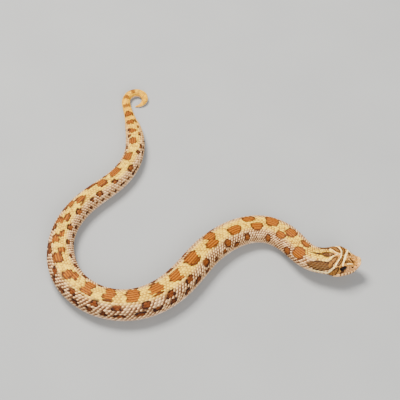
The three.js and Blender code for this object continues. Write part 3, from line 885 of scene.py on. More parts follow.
def cap_rings(ring, bulge):
    """Rings that shrink towards the middle of an open end and stand out by a rounded bulge."""
    middle = ring.mean(0)
    rings = [middle + (ring - middle) * (1 - s) + bulge * math.sqrt(1 - (1 - s) ** 2) for s in CAP_SHRINK]
    return rings, middle + bulge


def level_step(start, end, length):
    """A level step of that length in the direction from one place on the back to another."""
    way = (on_body(end, 0.0) - on_body(start, 0.0)) * [1, 1, 0]
    return length * way / np.linalg.norm(way)


sunk = coat_depth(coarse_at, coarse_share) * ease((COAT_END - coarse_at) / COAT_END_FADE)
body_points = on_body(coarse_at, coarse_share, -sunk)
nose_caps, nose_tip = cap_rings(head_points[:HEAD_COLUMNS], level_step(1.0, 0.5, NOSE_BULGE))
tail_caps, tail_tip = cap_rings(body_points[-1], level_step(199.5, 200.0, TAIL_BULGE))
print("the skin reaches from", np.round(nose_tip, 1), "to", np.round(tail_tip, 1), "mm")

# %% [markdown]
# Now the faces: quads between rings, a wide ring of faces where the columns thin out, and one fan that
# closes each end. The points are stacked in the same order, from the snout to the tail, with the two tips
# last.

# %% Join the rings into one closed skin
def ring_faces(first, second, columns):
    """Quads between two rings, given the number of the first point of each."""
    k = np.arange(columns)
    n = (k + 1) % columns
    return np.stack([first + k, second + k, second + n, first + n], 1).tolist()


nose_count = len(nose_caps) * HEAD_COLUMNS
skin_points = np.vstack([
    *nose_caps[::-1], head_points, body_points.reshape(-1, 3), *tail_caps, nose_tip[None], tail_tip[None],
])
skin_faces = []
for i in range(len(nose_caps) + HEAD_RINGS - 1):
    skin_faces += ring_faces(i * HEAD_COLUMNS, (i + 1) * HEAD_COLUMNS, HEAD_COLUMNS)
last_fine = (len(nose_caps) + HEAD_RINGS - 1) * HEAD_COLUMNS
first_coarse = last_fine + HEAD_COLUMNS
for k in range(body_columns):
    fine_edge = [last_fine + (COLUMN_RATIO * k + m) % HEAD_COLUMNS for m in range(COLUMN_RATIO, -1, -1)]
    skin_faces.append(fine_edge + [first_coarse + k, first_coarse + (k + 1) % body_columns])
coarse_rings = len(body_ring_at) + len(tail_caps)
for i in range(coarse_rings - 1):
    ring = first_coarse + i * body_columns
    skin_faces += ring_faces(ring, ring + body_columns, body_columns)
last_ring = first_coarse + (coarse_rings - 1) * body_columns
nose_index, tail_index = len(skin_points) - 2, len(skin_points) - 1
skin_faces += [[(k + 1) % HEAD_COLUMNS, nose_index, k] for k in range(HEAD_COLUMNS)]
skin_faces += [[last_ring + k, tail_index, last_ring + (k + 1) % body_columns] for k in range(body_columns)]
print(len(skin_faces), "faces on the skin")

# %% [markdown]
# The paint reads named values from the points: how far each is from the edge of a mark, from a seam, from
# the mouth. Some of them mean something on the head only, so each also gets one fixed value for the rounded
# snout, for the body and for the rounded tail tip. A bar on the upper lip marks each seam between two lip
# plates, and each plate has a random number of its own, so that no two have quite the same colour.

# %% Give the skin its values
LIP_BAR_HALF_WIDTH, LIP_BAR_SLANT, LIP_BAR_UP, LIP_BAR_REACH, LIP_BARS_END = 0.2, 0.1, 0.25, 0.6, 7.0
body_at, body_share = coarse_at.ravel(), coarse_share.ravel()


def padded(head, snout, body, tail):
    """One value for each point of the skin, in the order of the points."""
    before = np.full(nose_count, snout)
    behind = np.full(len(tail_caps) * body_columns, tail)
    return np.concatenate([before, head, np.broadcast_to(body, body_at.shape), behind, [snout, tail]])


seams_of_lip = [(a + b) / 2 for a, b in zip(UPPER_LIP, UPPER_LIP[1:])]
slanted_at = flat_at - LIP_BAR_SLANT * over_mouth
lip_bar = sum(bump(slanted_at - seam, LIP_BAR_HALF_WIDTH) for seam in seams_of_lip)
lip_bar = lip_bar * bump(over_mouth - LIP_BAR_UP, LIP_BAR_REACH) * (flat_at < LIP_BARS_END)
plate_chance = np.random.default_rng(3).uniform(0, 1, plate_count)
skin_at = padded(flat_at, SNOUT_TIP, body_at, TOTAL_LENGTH)
nose_share, tail_share = np.tile(fine_share[0], len(nose_caps)), np.tile(coarse_share[0], len(tail_caps))
skin_share = np.concatenate([nose_share, flat_share, body_share, tail_share, [0, 0]])
skin_values = {
    **markings(skin_at, skin_share),
    "seam_gap": padded(seam_gap, 0.5, 0.5, 0.5),
    "mouth": padded(mouth, 0.0, 0.0, 0.0),
    "hollow": padded(hollow, 0.0, 0.0, 0.0),
    "bare": padded(bare, 1.0, 0.0, 1.0),
    "lip_bar": padded(lip_bar, 0.0, 0.0, 0.0),
    "over_mouth": padded(over_mouth, 2.0, 3.0, 3.0),
    "chance": padded(plate_chance[plate_of], 0.5, 0.5, 0.5),
}
print("each point of the skin has", len(skin_values), "values")

# %% [markdown]
# The flat map for baking gives the head two fifths of its length, since the finest detail is there. The
# skin takes the place of every CAD piece except the eyes.

# %% Make the skin
HEAD_MAP_SHARE = 0.4


def along_map(at):
    """Where a place lies along the flat map, from 0 to 1."""
    on_head = np.clip((at - SNOUT_TIP) / (FINE_END - SNOUT_TIP), 0, 1) * HEAD_MAP_SHARE
    behind = np.clip((at - FINE_END) / (TOTAL_LENGTH - FINE_END), 0, 1) * (1 - HEAD_MAP_SHARE)
    return on_head + behind


flesh = [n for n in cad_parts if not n.startswith("eye")]
skin_map = np.stack([along_map(skin_at), (skin_share + 1) / 2], 1)
skin = make_piece("skin", skin_points, skin_faces, skin_values, skin_map, flesh)

# %% [markdown]
# ## Scales of the back and flanks
#
# The body wears 23 rows of narrow keeled scales. Each overlaps the one behind it, and neighbouring rows are
# staggered, so that they read as diagonals. We first find where each row runs: the lowest rows are the
# widest, and some rows end where the body tapers, as they do on the living animal.

# %% Lay out the rows of scales
ROWS = 23
MIDDLE_ROW = ROWS // 2
ROW_ENDS = {4: 112, 3: 138, 6: 161, 2: 168, 8: 174, 5: 181, 7: 188, 1: 194}
ROW_FADE = 5.0
LOW_ROW_EXTRA, LOW_ROW_REACH = 0.4, 1.2
# From scale to scale, in millimetres, at places behind the snout.
PITCHES = {0: 0.7, 9: 0.74, 20: 0.94, 60: 1.06, 150: 1.0, 168: 0.84, 182: 0.62, 200: 0.5}
pitch_at = through(*zip(*PITCHES.items()))

row_weight = np.ones((ROWS, len(map_at)))
for j in range(ROWS):
    low = min(j, ROWS - 1 - j)
    row_weight[j] += LOW_ROW_EXTRA * math.exp(-low / LOW_ROW_REACH)
    if low in ROW_ENDS:
        row_weight[j] *= 1 - ease((map_at - ROW_ENDS[low] + ROW_FADE) / ROW_FADE)
present = np.minimum(row_weight, 1)
total = row_weight.sum(0)
row_share = (row_weight.cumsum(0) - row_weight / 2) / total * 2 * BELLY_EDGE - BELLY_EDGE
row_width = row_weight / total * 2 * BELLY_EDGE * half_girth
scale_count = np.concatenate([[0], np.cumsum(STEP / pitch_at(map_at[:-1]))])
print("about", int(scale_count[-1]), "scales stand in each row from snout to tail")

# %% [markdown]
# One scale is a thin shell: narrow at its root, widest before the middle and rounded at its free tip, with
# a keel along it. Its root is sunk into the skin and its tip stands over the root of the next. We design it
# once on a small grid and then lay a copy of that grid at every place on the skin map, so that each copy
# bends with the body. The lines of the grid stand closer together at the keel, so that it comes out as a
# sharp ridge.

# %% The shape of one scale
ACROSS, ALONG = 9, 8
SCALE_LENGTH, SCALE_WIDTH = 1.62, 1.34  # shares of the step along a row and of the step from row to row
ROOT_DEPTH, TIP_HEIGHT, DOME, KEEL = 0.17, -0.01, 0.035, 0.085  # millimetres
CROWDED_AT_KEEL, KEEL_HALF_WIDTH, KEEL_STARTS, KEEL_SINKS_FROM, KEEL_SINKS_BY = 1.4, 0.15, 0.3, 0.6, 0.7
BEFORE_WIDEST, BEHIND_WIDEST, ROOT_NARROWER_BY = 0.42, 0.58, 0.5
TIP_POINTED, TIP_ROUNDED, TIP_HALF_WIDTH, CORNERS_BACK = 2.3, 0.6, 0.12, 0.07

lines_across = np.linspace(-1, 1, ACROSS)
lines_across = np.sign(lines_across) * np.abs(lines_across) ** CROWDED_AT_KEEL
shape_across, shape_along = np.meshgrid(lines_across, np.linspace(0, 1, ALONG), indexing="ij")
back_from_widest = np.clip((shape_along - BEFORE_WIDEST) / BEHIND_WIDEST, 0, 1)
before_widest = np.clip((BEFORE_WIDEST - shape_along) / BEFORE_WIDEST, 0, 1)
outline = np.maximum((1 - back_from_widest**TIP_POINTED) ** TIP_ROUNDED, TIP_HALF_WIDTH)
outline = outline - ROOT_NARROWER_BY * before_widest**2
rounded_along = shape_along - CORNERS_BACK * shape_across**2 * shape_along
tilt = -ROOT_DEPTH + (ROOT_DEPTH + TIP_HEIGHT) * shape_along
keel_sinks = 1 - KEEL_SINKS_BY * ease((shape_along - KEEL_SINKS_FROM) / (1 - KEEL_SINKS_FROM))
keel = bump(shape_across, KEEL_HALF_WIDTH) * ease(shape_along / KEEL_STARTS) * keel_sinks
crown_of_scale = (1 - shape_across**2) * np.sin(np.pi * np.clip(shape_along, 0.02, 0.98)) ** 0.5
print("one scale is a grid of", ACROSS, "lines across and", ALONG, "along")

# %% [markdown]
# An open shell would be only a surface. So faces run underneath, from the rim down to one point that is
# sunk in the skin. That closes each scale to a solid, and it is never seen. The plates of the belly will be
# closed in the same way.

# %% Close the scale underneath
SUNK = {"u": 0, "across": 0, "along": 0.5, "tip": 0.5, "tilt": -0.3, "dome": 0, "keel": 0}  # the point below


def closed_form(grid):
    """A grid of points with named values, closed underneath from its rim down to one sunk point."""
    across, along = grid["u"].shape
    faces = [
        [i * along + j, i * along + j + 1, (i + 1) * along + j + 1, (i + 1) * along + j]
        for i in range(across - 1)
        for j in range(along - 1)
    ]
    rim = [i * along for i in range(across)] + [(across - 1) * along + j for j in range(1, along)]
    rim += [i * along + along - 1 for i in range(across - 2, -1, -1)] + [j for j in range(along - 2, 0, -1)]
    faces += [[rim[k - 1], rim[k], across * along] for k in range(len(rim))]
    form = {name: np.append(values.ravel(), SUNK[name]) for name, values in grid.items()}
    return {**form, "faces": faces}


keeled_scale = closed_form({
    "u": shape_across,
    "across": shape_across * outline,
    "along": rounded_along,
    "tip": shape_along,
    "tilt": tilt,
    "dome": DOME * crown_of_scale,
    "keel": keel,
})
print("one scale has", len(keeled_scale["faces"]), "faces")

# %% [markdown]
# Colour follows the scales: a blotch ends at the edge of a scale more often than across it. So the paint
# asks for the markings at a place between the scale's own middle and the point. On the neck, where the
# scales are small, it stays nearer to the point and the marks keep a smooth oval outline.

# %% Lay scales on the body
# How far colour keeps to whole scales: least on the neck, most further back.
SMOOTHEST_MARKS, STEPPED_MARKS = 0.3, 0.65
STEPPED_FROM, STEPPED_OVER = 35, 35
MAP_PATCH = 0.004  # one scale covers this much of the flat map's length and height
scale_rng = np.random.default_rng(21)


def lay_scales(name, places, form):
    """places has a row for each scale: at, share, length, width, keel height and drift of the share."""
    at0, share0, length, width, keeled, drift = (places[:, k : k + 1] for k in range(6))
    at = at0 + form["along"][None] * length
    share = share0 + drift * form["along"][None] + form["across"][None] * width / 2 / girth(at)
    height = form["tilt"][None] + form["dome"][None] + form["keel"][None] * keeled
    points = on_body(at, share, height)
    middle_at = at0 + 0.5 * length
    stepped = ease((middle_at - STEPPED_FROM) / STEPPED_OVER)
    by_scale = SMOOTHEST_MARKS + (STEPPED_MARKS - SMOOTHEST_MARKS) * stepped
    colour_at = middle_at * by_scale + at * (1 - by_scale)
    colour_share = (share0 + 0.5 * drift) * by_scale + share * (1 - by_scale)
    values = markings(colour_at.ravel(), colour_share.ravel())
    count = len(places)
    values["tip"] = np.tile(form["tip"], count)
    values["from_keel"] = np.tile(np.abs(form["u"]), count)
    values["downwards"] = (form["u"][None] * np.sign(share0)).ravel()
    values["chance"] = np.repeat(scale_rng.uniform(0, 1, count), len(form["tip"]))
    size = len(form["tip"])
    faces = [[corner + i * size for corner in face] for i in range(count) for face in form["faces"]]
    start, end = places[:, 0].min() - 0.1, places[:, 0].max() + 0.1
    on_map = np.stack([(at0 - start) / (end - start), (share0 + 1) / 2 % 1], 2)
    in_patch = np.stack([form["tip"] - 0.5, form["u"] / 2], 1)[None]
    flat = on_map * (1 - MAP_PATCH) + MAP_PATCH / 2 + MAP_PATCH * in_patch
    return make_piece(name, points.reshape(-1, 3), faces, values, flat.reshape(-1, 2))


print("each scale covers", MAP_PATCH, "of the length and the height of its flat map")

# %% [markdown]
# Each row now gets its scales. A row stands half a step behind its neighbour, and where a row fades out,
# the stagger of the rows beyond it fades with it, so that the diagonals stay unbroken. The lowest rows are
# almost without keels.

# %% Find the place of each scale
LAST_SCALE_END, LEAST_WEIGHT = 0.25, 0.4
LOW_KEELS = {0: 0.15, 1: 0.6}
KEELS_FROM, KEELS_OVER = 10, 6
LENGTH_VARIES = (0.95, 1.05)


def scale_places():
    rows = []
    for j in range(ROWS):
        nearer = range(MIDDLE_ROW + 1, j + 1) if j > MIDDLE_ROW else range(j, MIDDLE_ROW)
        counter = scale_count - 0.5 * sum((present[k] for k in nearer), 0 * map_at)
        low = min(j, ROWS - 1 - j)
        for n in range(int(np.ceil(counter[0])), int(counter[-1])):
            at = float(np.interp(n, counter, map_at))
            weight = float(np.interp(at, map_at, present[j]))
            length = SCALE_LENGTH * float(pitch_at(at))
            if at < COAT_START or at + length > TOTAL_LENGTH - LAST_SCALE_END or weight < LEAST_WEIGHT:
                continue
            share = float(np.interp(at, map_at, row_share[j]))
            drift = float(np.interp(at + length, map_at, row_share[j])) - share
            width = SCALE_WIDTH * float(np.interp(at, map_at, row_width[j]))
            keeled = KEEL * LOW_KEELS.get(low, 1) * float(ease((at - KEELS_FROM) / KEELS_OVER))
            rows.append((at, share, length * scale_rng.uniform(*LENGTH_VARIES), width, keeled, drift))
    return np.array(rows)


all_places = scale_places()
print(len(all_places), "keeled scales in all")

# %% [markdown]
# The coat is made in several joined pieces, one for each stretch of the body. That keeps every piece light,
# and each gets its own flat map for baking.

# %% Make the coat piece by piece
COAT_PIECES = {
    "scales_neck": (0, 30, "body_skin"),
    "scales_forebody": (30, 68, "body_skin"),
    "scales_midbody_front": (68, 104, "body_skin"),
    "scales_midbody_rear": (104, 138, "body_skin"),
    "scales_hindbody": (138, 167, "body_skin"),
    "scales_tail": (167, 201, "tail_skin"),
}
coat = []
for name, (start, end, slot) in COAT_PIECES.items():
    inside = (all_places[:, 0] >= start) & (all_places[:, 0] < end)
    coat.append(lay_scales(name, all_places[inside], keeled_scale))

# %% [markdown]
# ## Belly plates
#
# Under the body a snake has one wide smooth plate for each step of its ribs, and under the tail two rows of
# half plates. They are laid with the same helper as the scales: only the grid and the outline differ.

# %% The shape of a smooth plate
PLATE_SINKS, PLATE_DOME, ROOT_NARROWS = 0.02, 0.02, 0.04
BELLY_GRID, TAIL_GRID = (29, 5, 0.25), (9, 5, 0.3)  # lines across, lines along, rounding of the corners


def smooth_form(across, along, rounding):
    """One smooth plate."""
    u, v = np.meshgrid(np.linspace(-1, 1, across), np.linspace(0, 1, along), indexing="ij")
    return closed_form({
        "u": u,
        "across": u * (1 - ROOT_NARROWS * (1 - v)),
        "along": v - rounding * u**6 * v,
        "tip": v,
        "tilt": -ROOT_DEPTH + (ROOT_DEPTH - PLATE_SINKS) * v,
        "dome": PLATE_DOME * np.sin(np.pi * v),
        "keel": 0 * u,
    })


belly_plate, tail_plate = smooth_form(*BELLY_GRID), smooth_form(*TAIL_GRID)
print("a belly plate has", len(belly_plate["faces"]), "faces and a tail plate", len(tail_plate["faces"]))

# %% [markdown]
# The plates of the belly keep step with the scales above them, and their ends are tucked under the lowest
# row. Behind the vent left and right plates take turns, and both reach a little over the middle line, so
# that no gap opens between them.

# %% Wide plates of the belly and paired plates of the tail
VENT_AT, BEHIND_VENT, BEFORE_TAIL_TIP = 167.0, 0.6, 0.3
BELLY_LENGTH, BELLY_TUCKED = 1.45, 0.045  # in steps of the scales, and in shares of the way round
TAIL_LENGTH, TAIL_WIDTH, TAIL_TUCKED, TAIL_PLATES_LAP = 1.5, 2.05, 0.04, 0.015


def belly_places():
    rows = []
    for n in range(int(scale_count[-1]) + 1):
        at = float(np.interp(n + 0.25, scale_count, map_at))
        if BELLY_START < at < VENT_AT:
            width = 2 * (1 - BELLY_EDGE + BELLY_TUCKED) * float(girth(at))
            rows.append((at, 1.0, BELLY_LENGTH * float(pitch_at(at)), width, 0, 0))
    return np.array(rows)


def tail_plate_places():
    rows = []
    half = (1 - BELLY_EDGE + TAIL_TUCKED) / 2
    for n in range(2 * int(scale_count[-1])):
        at = float(np.interp(n / 2, scale_count, map_at))
        length = TAIL_LENGTH * float(pitch_at(at))
        if VENT_AT + BEHIND_VENT < at < TOTAL_LENGTH - BEFORE_TAIL_TIP - length:
            share = (1 if n % 2 else -1) * (1 - half + TAIL_PLATES_LAP)
            rows.append((at, share, length, TAIL_WIDTH * half * float(girth(at)), 0, 0))
    return np.array(rows)


coat += [
    lay_scales("plates_belly", belly_places(), belly_plate),
    lay_scales("plates_under_tail", tail_plate_places(), tail_plate),
]

# %% [markdown]
# ## Eyes
#
# A snake has no lids. A clear fixed scale covers a glossy dark eye with a round pupil. The eye is an egg in
# the orbit, so we shape a fine ball by the same egg numbers and remember how far each point is from the
# pupil.

# %% Shape the eyes
EYE_RINGS, EYE_SIDES = 40, 56
EYE_GROWTH = np.array([1.22, 1.0, 1.12])  # the clear scale is a little wider than the ball under it


def make_eye(name, sign):
    theta = np.repeat(np.linspace(0, np.pi, EYE_RINGS), EYE_SIDES)
    phi = np.tile(np.arange(EYE_SIDES) / EYE_SIDES * 2 * np.pi, EYE_RINGS)
    ball = np.stack([np.sin(theta) * np.cos(phi), sign * np.cos(theta), np.sin(theta) * np.sin(phi)], -1)
    centre, turned, sizes = egg_frame("eye", sign)
    points = (ball * sizes * EYE_GROWTH) @ turned.T + centre
    faces = []
    for i in range(EYE_RINGS - 1):
        faces += ring_faces(i * EYE_SIDES, (i + 1) * EYE_SIDES, EYE_SIDES)
    values = {"from_pupil": theta, "up_in_eye": ball[:, 2]}
    flat = np.stack([theta / np.pi, phi / (2 * np.pi)], 1)
    return make_piece(name, points, faces, values, flat, [name.replace("ball", "eye")])


eyes = [make_eye("ball_left", 1), make_eye("ball_right", -1)]

# %% [markdown]
# ## Paint
#
# A paint in Blender is a small network of nodes. The same few steps come back all the time: read a named
# value, turn it into a soft mask, mix two colours by a mask, add some noise. Two short helper classes give
# each of them a plain name, so that a finish reads almost like a recipe. The first one makes the masks.

# %% The steps that make masks
SHEEN_OF_SKIN = 0.12  # dry horn throws back less light than most plastics


class Masks:
    """One material and its masks, which are outputs of its nodes or plain numbers from 0 to 1."""

    def __init__(self, name):
        self.material = bpy.data.materials.new(name)
        self.material.use_nodes = True
        self.tree = self.material.node_tree
        self.shader = next(n for n in self.tree.nodes if n.type == "BSDF_PRINCIPLED")
        self.shader.inputs["Specular IOR Level"].default_value = SHEEN_OF_SKIN

    def plug(self, socket, value):
        """Links an output to a socket, or sets the socket to a plain value."""
        if isinstance(value, bpy.types.NodeSocket):
            self.tree.links.new(value, socket)
        else:
            socket.default_value = value

    def value(self, name):
        """A named value of the points."""
        node = self.tree.nodes.new("ShaderNodeAttribute")
        node.attribute_name = name
        return node.outputs["Fac"]

    def values(self, *names):
        return [self.value(name) for name in names]

    def soft_step(self, value, low, high):
        """0 below low, 1 above high, smooth between; low may be the larger one."""
        node = self.tree.nodes.new("ShaderNodeMapRange")
        node.interpolation_type = "SMOOTHSTEP"
        self.plug(node.inputs["Value"], value)
        flipped = low > high
        node.inputs["From Min"].default_value = min(low, high)
        node.inputs["From Max"].default_value = max(low, high)
        node.inputs["To Min"].default_value = 1.0 if flipped else 0.0
        node.inputs["To Max"].default_value = 0.0 if flipped else 1.0
        return node.outputs["Result"]

    def reckon(self, operation, first, second):
        node = self.tree.nodes.new("ShaderNodeMath")
        node.operation = operation
        self.plug(node.inputs[0], first)
        self.plug(node.inputs[1], second)
        return node.outputs[0]

    def times(self, first, *others):
        for other in others:
            first = self.reckon("MULTIPLY", first, other)
        return first

    def plus(self, first, second):
        return self.reckon("ADD", first, second)

    def between(self, share, low, high):
        """From low to high as the share goes from 0 to 1."""
        node = self.tree.nodes.new("ShaderNodeMapRange")
        self.plug(node.inputs["Value"], share)
        node.inputs["To Min"].default_value, node.inputs["To Max"].default_value = low, high
        return node.outputs["Result"]


print("steps for masks:", ", ".join(step for step in vars(Masks) if not step.startswith("_")))

# %% [markdown]
# A paint is more than its masks. It also mixes colours by them, breaks them up with noise and plugs the
# result into the shader. Blender's noise asks how many grains there are in a metre. The size of one grain
# in millimetres is easier to picture, so the helper takes that and works out the rest.

# %% The steps that mix colours and finish a paint
class Paint(Masks):
    """Adds colours, which are outputs of nodes too or plain colours from the list below."""

    def mix(self, mask, first, second, way="MIX"):
        """The first colour where the mask is 0, the second where it is 1."""
        node = self.tree.nodes.new("ShaderNodeMix")
        node.data_type = "RGBA"
        node.blend_type = way
        factor, colour_a, colour_b, result = 0, 6, 7, 2  # the sockets of this node that belong to colours
        self.plug(node.inputs[factor], mask)
        self.plug(node.inputs[colour_a], first)
        self.plug(node.inputs[colour_b], second)
        return node.outputs[result]

    def noise(self, size_mm, detail=2.0, low=0.0, high=1.0):
        """Cloudy noise of one grain size; low and high cut it to a mask."""
        place = self.tree.nodes.new("ShaderNodeTexCoord")
        node = self.tree.nodes.new("ShaderNodeTexNoise")
        self.plug(node.inputs["Vector"], place.outputs["Object"])
        node.inputs["Scale"].default_value = 1 / (size_mm * MM)
        node.inputs["Detail"].default_value = detail
        return self.soft_step(node.outputs["Fac"], low, high)

    def finish(self, colour, roughness, bump_mm=0.0, bump_height=None):
        """Plugs the results into the shader."""
        self.plug(self.shader.inputs["Base Color"], colour)
        self.plug(self.shader.inputs["Roughness"], roughness)
        if bump_height is not None:
            node = self.tree.nodes.new("ShaderNodeBump")
            node.inputs["Strength"].default_value = 1.0
            node.inputs["Distance"].default_value = bump_mm * MM
            self.plug(node.inputs["Height"], bump_height)
            self.plug(self.shader.inputs["Normal"], node.outputs["Normal"])
        return self.material


print("steps for paints:", ", ".join(step for step in vars(Paint) if not step.startswith("_")))

# %% [markdown]
# ## The colours of the snake
#
# The back is cream yellow, the flanks pinkish cream, the edge of the belly almost white. Back blotches are
# orange with a brown rim. Flank marks are redder and darker in the middle of the body and paler towards
# both its ends. We keep all of them in one place by name, in the eight-bit numbers that a colour picker
# shows, and turn them into the linear light that Blender reckons with.

# %% Name the colours
def shade(red, green, blue):
    """A colour in eight-bit numbers, turned into linear light."""
    parts = [c / 255 for c in (red, green, blue)]
    return [c / 12.92 if c <= 0.04045 else ((c + 0.055) / 1.055) ** 2.4 for c in parts] + [1]


BACK_CREAM = shade(254, 214, 60)
FLANK_PINK = shade(255, 212, 154)
BELLY_WHITE = shade(255, 230, 206)
TAIL_YELLOW = shade(252, 192, 10)
BLOTCH_ORANGE = shade(118, 60, 4)
# painted highlight for the keels of the scales inside a blotch
BLOTCH_KEEL_HIGHLIGHT = shade(198, 118, 6)
BLOTCH_RIM = shade(84, 42, 8)
FLANK_MARK = shade(106, 54, 16)
FLANK_RIM = shade(44, 17, 8)
PALER_FLANK_MARK = shade(124, 70, 24)
PALER_FLANK_RIM = shade(54, 24, 10)
FLECK_BROWN = shade(72, 24, 16)
BACK_FLECK = shade(140, 90, 24)
HEAD_OCHRE = shade(196, 140, 60)
SNOUT_OCHRE = shade(190, 130, 48)
PATCH_BROWN = shade(86, 53, 22)
PATCH_RIM = shade(46, 22, 8)
PATCH_FLECK = shade(166, 112, 42)
PALE_LINE = shade(255, 228, 156)
FACE_PINK = shade(222, 164, 108)
LIP_PINK = shade(238, 186, 118)
LIP_BROWN = shade(104, 60, 38)
STRIPE_BROWN = shade(44, 12, 8)
DEEP_BROWN = shade(14, 6, 5)
# These only darken the colour that they are multiplied with.
UNEVEN_TINT = shade(206, 160, 112)
DUST_TINT = shade(170, 122, 84)
BETWEEN_SCALES_TINT = shade(150, 90, 56)
SPECKLE_TINT = shade(150, 100, 66)
SEAM_TINT = shade(120, 72, 44)
print("the blotch orange is", [round(c, 3) for c in BLOTCH_ORANGE[:3]], "in linear light")

# %% [markdown]
# Two steps come back in every recipe: the ground colour, and a mark with a rim laid over it. On the real
# animal both are in the same skin. Here each asks the point how far down the flank and how near the edge of
# a mark it lies, so no colour has to be painted by hand.

# %% Ground colour and marks
BACK_TO_FLANK, FLANK_TO_BELLY = (0.1, 0.28), (0.5, 0.64)  # shares of the way round
BODY_TO_TAIL = (160, 182)  # millimetres behind the snout
MARK_SOFTNESS, PALE_LINE_SOFTNESS = 0.09, 0.05  # millimetres to each side of an edge
PATCH_RIM_SPAN = (-0.2, -0.42)


def snake_ground(paint):
    """Ground colour from the back down to the belly, and towards the tail."""
    down, along = paint.values("down_flank", "behind_snout")
    ground = paint.mix(paint.soft_step(down, *BACK_TO_FLANK), BACK_CREAM, FLANK_PINK)
    ground = paint.mix(paint.soft_step(along, *BODY_TO_TAIL), ground, TAIL_YELLOW)
    return paint.mix(paint.soft_step(down, *FLANK_TO_BELLY), ground, BELLY_WHITE)


def add_marks(paint, colour, inside, rim, value, rim_from=-0.12, rim_to=-0.45):
    """Lays a mark over a colour: its rim colour at the edge, its inside colour further in."""
    edge = paint.value(value)
    body = paint.mix(paint.soft_step(edge, rim_from, rim_to), rim, inside)
    return paint.mix(paint.soft_step(edge, MARK_SOFTNESS, -MARK_SOFTNESS), colour, body)


def add_pale_lines(paint, colour):
    mask = paint.soft_step(paint.value("pale_line"), PALE_LINE_SOFTNESS, -PALE_LINE_SOFTNESS)
    return paint.mix(mask, colour, PALE_LINE)


print("the tail turns yellow from", BODY_TO_TAIL[0], "to", BODY_TO_TAIL[1], "mm behind the snout")

# %% [markdown]
# The scales get the full recipe. First their ground: on the flank each scale is dark at its base, most of
# all on its lower side. Together these bases draw the slanting lattice that one sees on the living animal.
# Higher up they fade to tan, and the belly plates have none.

# %% Ground and lattice of the scales
def base_of_scale(paint):
    """1 at the root of a scale and 0 at its free edge, which is lighter further from the keel."""
    tip, off_keel = paint.values("tip", "from_keel")
    return paint.soft_step(paint.plus(tip, paint.times(off_keel, 0.2)), 0.92, 0.68)


def tan_bases(paint, colour):
    tip, off_keel, chance, along = paint.values("tip", "from_keel", "chance", "behind_snout")
    often = paint.soft_step(chance, -0.4, 1.0)
    colour = paint.mix(paint.times(base_of_scale(paint), often, 0.35), colour, BACK_FLECK)
    root = paint.soft_step(paint.plus(tip, paint.times(off_keel, -0.35)), 0.62, 0.44)
    strength = paint.between(paint.soft_step(along, 20, 45), 0.95, 0.6)
    return paint.mix(paint.times(root, often, strength), colour, BACK_FLECK)


def dark_lattice(paint, colour):
    tip, downwards, chance = paint.values("tip", "downwards", "chance")
    down, along = paint.values("down_flank", "behind_snout")
    low_side = paint.soft_step(paint.plus(tip, paint.times(downwards, -0.22)), 0.86, 0.62)
    how_dark = paint.times(
        paint.soft_step(down, 0.12, 0.28),  # none on the back
        paint.soft_step(along, 182, 164),  # none on the tail
        paint.soft_step(along, 8, 18),  # none behind the head
        paint.between(paint.soft_step(along, 105, 150), 0.84, 0.5),  # weaker on the hind body
        paint.soft_step(chance, -0.6, 0.4),  # weaker on some scales
        paint.between(paint.soft_step(down, 0.48, 0.6), 1.0, 0.45),  # weaker low on the flank
        paint.soft_step(down, 0.78, 0.72),  # none on the belly
    )
    return paint.mix(paint.times(low_side, how_dark), colour, FLECK_BROWN)


GROUND_LAYERS = (tan_bases, dark_lattice)
print(len(GROUND_LAYERS), "layers lie on the ground colour")

# %% [markdown]
# Then the marks. Inside a blotch the keel of each scale gets a painted highlight, so that the blotch looks
# streaked along the rows. The flank marks are darker on the middle of the body than towards its ends.

# %% Marks of the scales
BLOTCH_RIM_SPAN, FLANK_RIM_END = (-0.18, -0.5), -0.6


def blotches(paint, colour):
    off_keel, along, tail_band = paint.values("from_keel", "behind_snout", "tail_band")
    strength = paint.between(paint.soft_step(along, 110, 165), 0.64, 0.42)
    # painted highlight: the keel of each scale in a blotch is lighter, as if its ridge caught the light
    keel_highlight = paint.times(paint.soft_step(off_keel, 0.65, 0.2), strength)
    orange = paint.mix(keel_highlight, BLOTCH_ORANGE, BLOTCH_KEEL_HIGHLIGHT)
    orange = paint.mix(paint.times(base_of_scale(paint), 0.25), orange, BLOTCH_RIM)
    colour = add_marks(paint, colour, orange, BLOTCH_RIM, "back_mark", *BLOTCH_RIM_SPAN)
    return paint.mix(paint.times(paint.soft_step(tail_band, 0.2, -0.3), 0.85), colour, BLOTCH_ORANGE)


def flank_spots(paint, colour):
    along = paint.value("behind_snout")
    on_middle = paint.times(paint.soft_step(along, 45, 65), paint.soft_step(along, 124, 108))
    inside = paint.mix(on_middle, PALER_FLANK_MARK, FLANK_MARK)
    rim = paint.mix(on_middle, PALER_FLANK_RIM, FLANK_RIM)
    return add_marks(paint, colour, inside, rim, "flank_mark", rim_to=FLANK_RIM_END)


def nape_marks(paint, colour):
    off_keel, tip = paint.values("from_keel", "tip")
    grain = paint.times(paint.soft_step(off_keel, 0.8, 0.1), paint.soft_step(tip, 0.5, 0.8))
    brown = paint.mix(paint.times(grain, 0.3), PATCH_BROWN, PATCH_FLECK)
    colour = add_marks(paint, colour, brown, PATCH_RIM, "head_patch", *PATCH_RIM_SPAN)
    return add_pale_lines(paint, colour)


MARK_LAYERS = (blotches, flank_spots, nape_marks)
print(len(MARK_LAYERS), "layers of marks lie over them")

# %% [markdown]
# Last, each scale outside the marks gets a pale free edge, and a little unevenness takes away the look of a
# print. The belly plates take the same paint, but they are smoother and shine more.

# %% Paint for the scales
def pale_edges(paint, colour):
    off_keel, down, back_mark, flank_mark = paint.values("from_keel", "down_flank", "back_mark", "flank_mark")
    at_edge = paint.times(paint.soft_step(off_keel, 0.6, 1.0), paint.soft_step(down, 0.15, 0.4))
    off_marks = paint.times(paint.soft_step(back_mark, 0.0, 0.15), paint.soft_step(flank_mark, 0.0, 0.15))
    return paint.mix(paint.times(at_edge, off_marks, 0.3), colour, PALE_LINE)


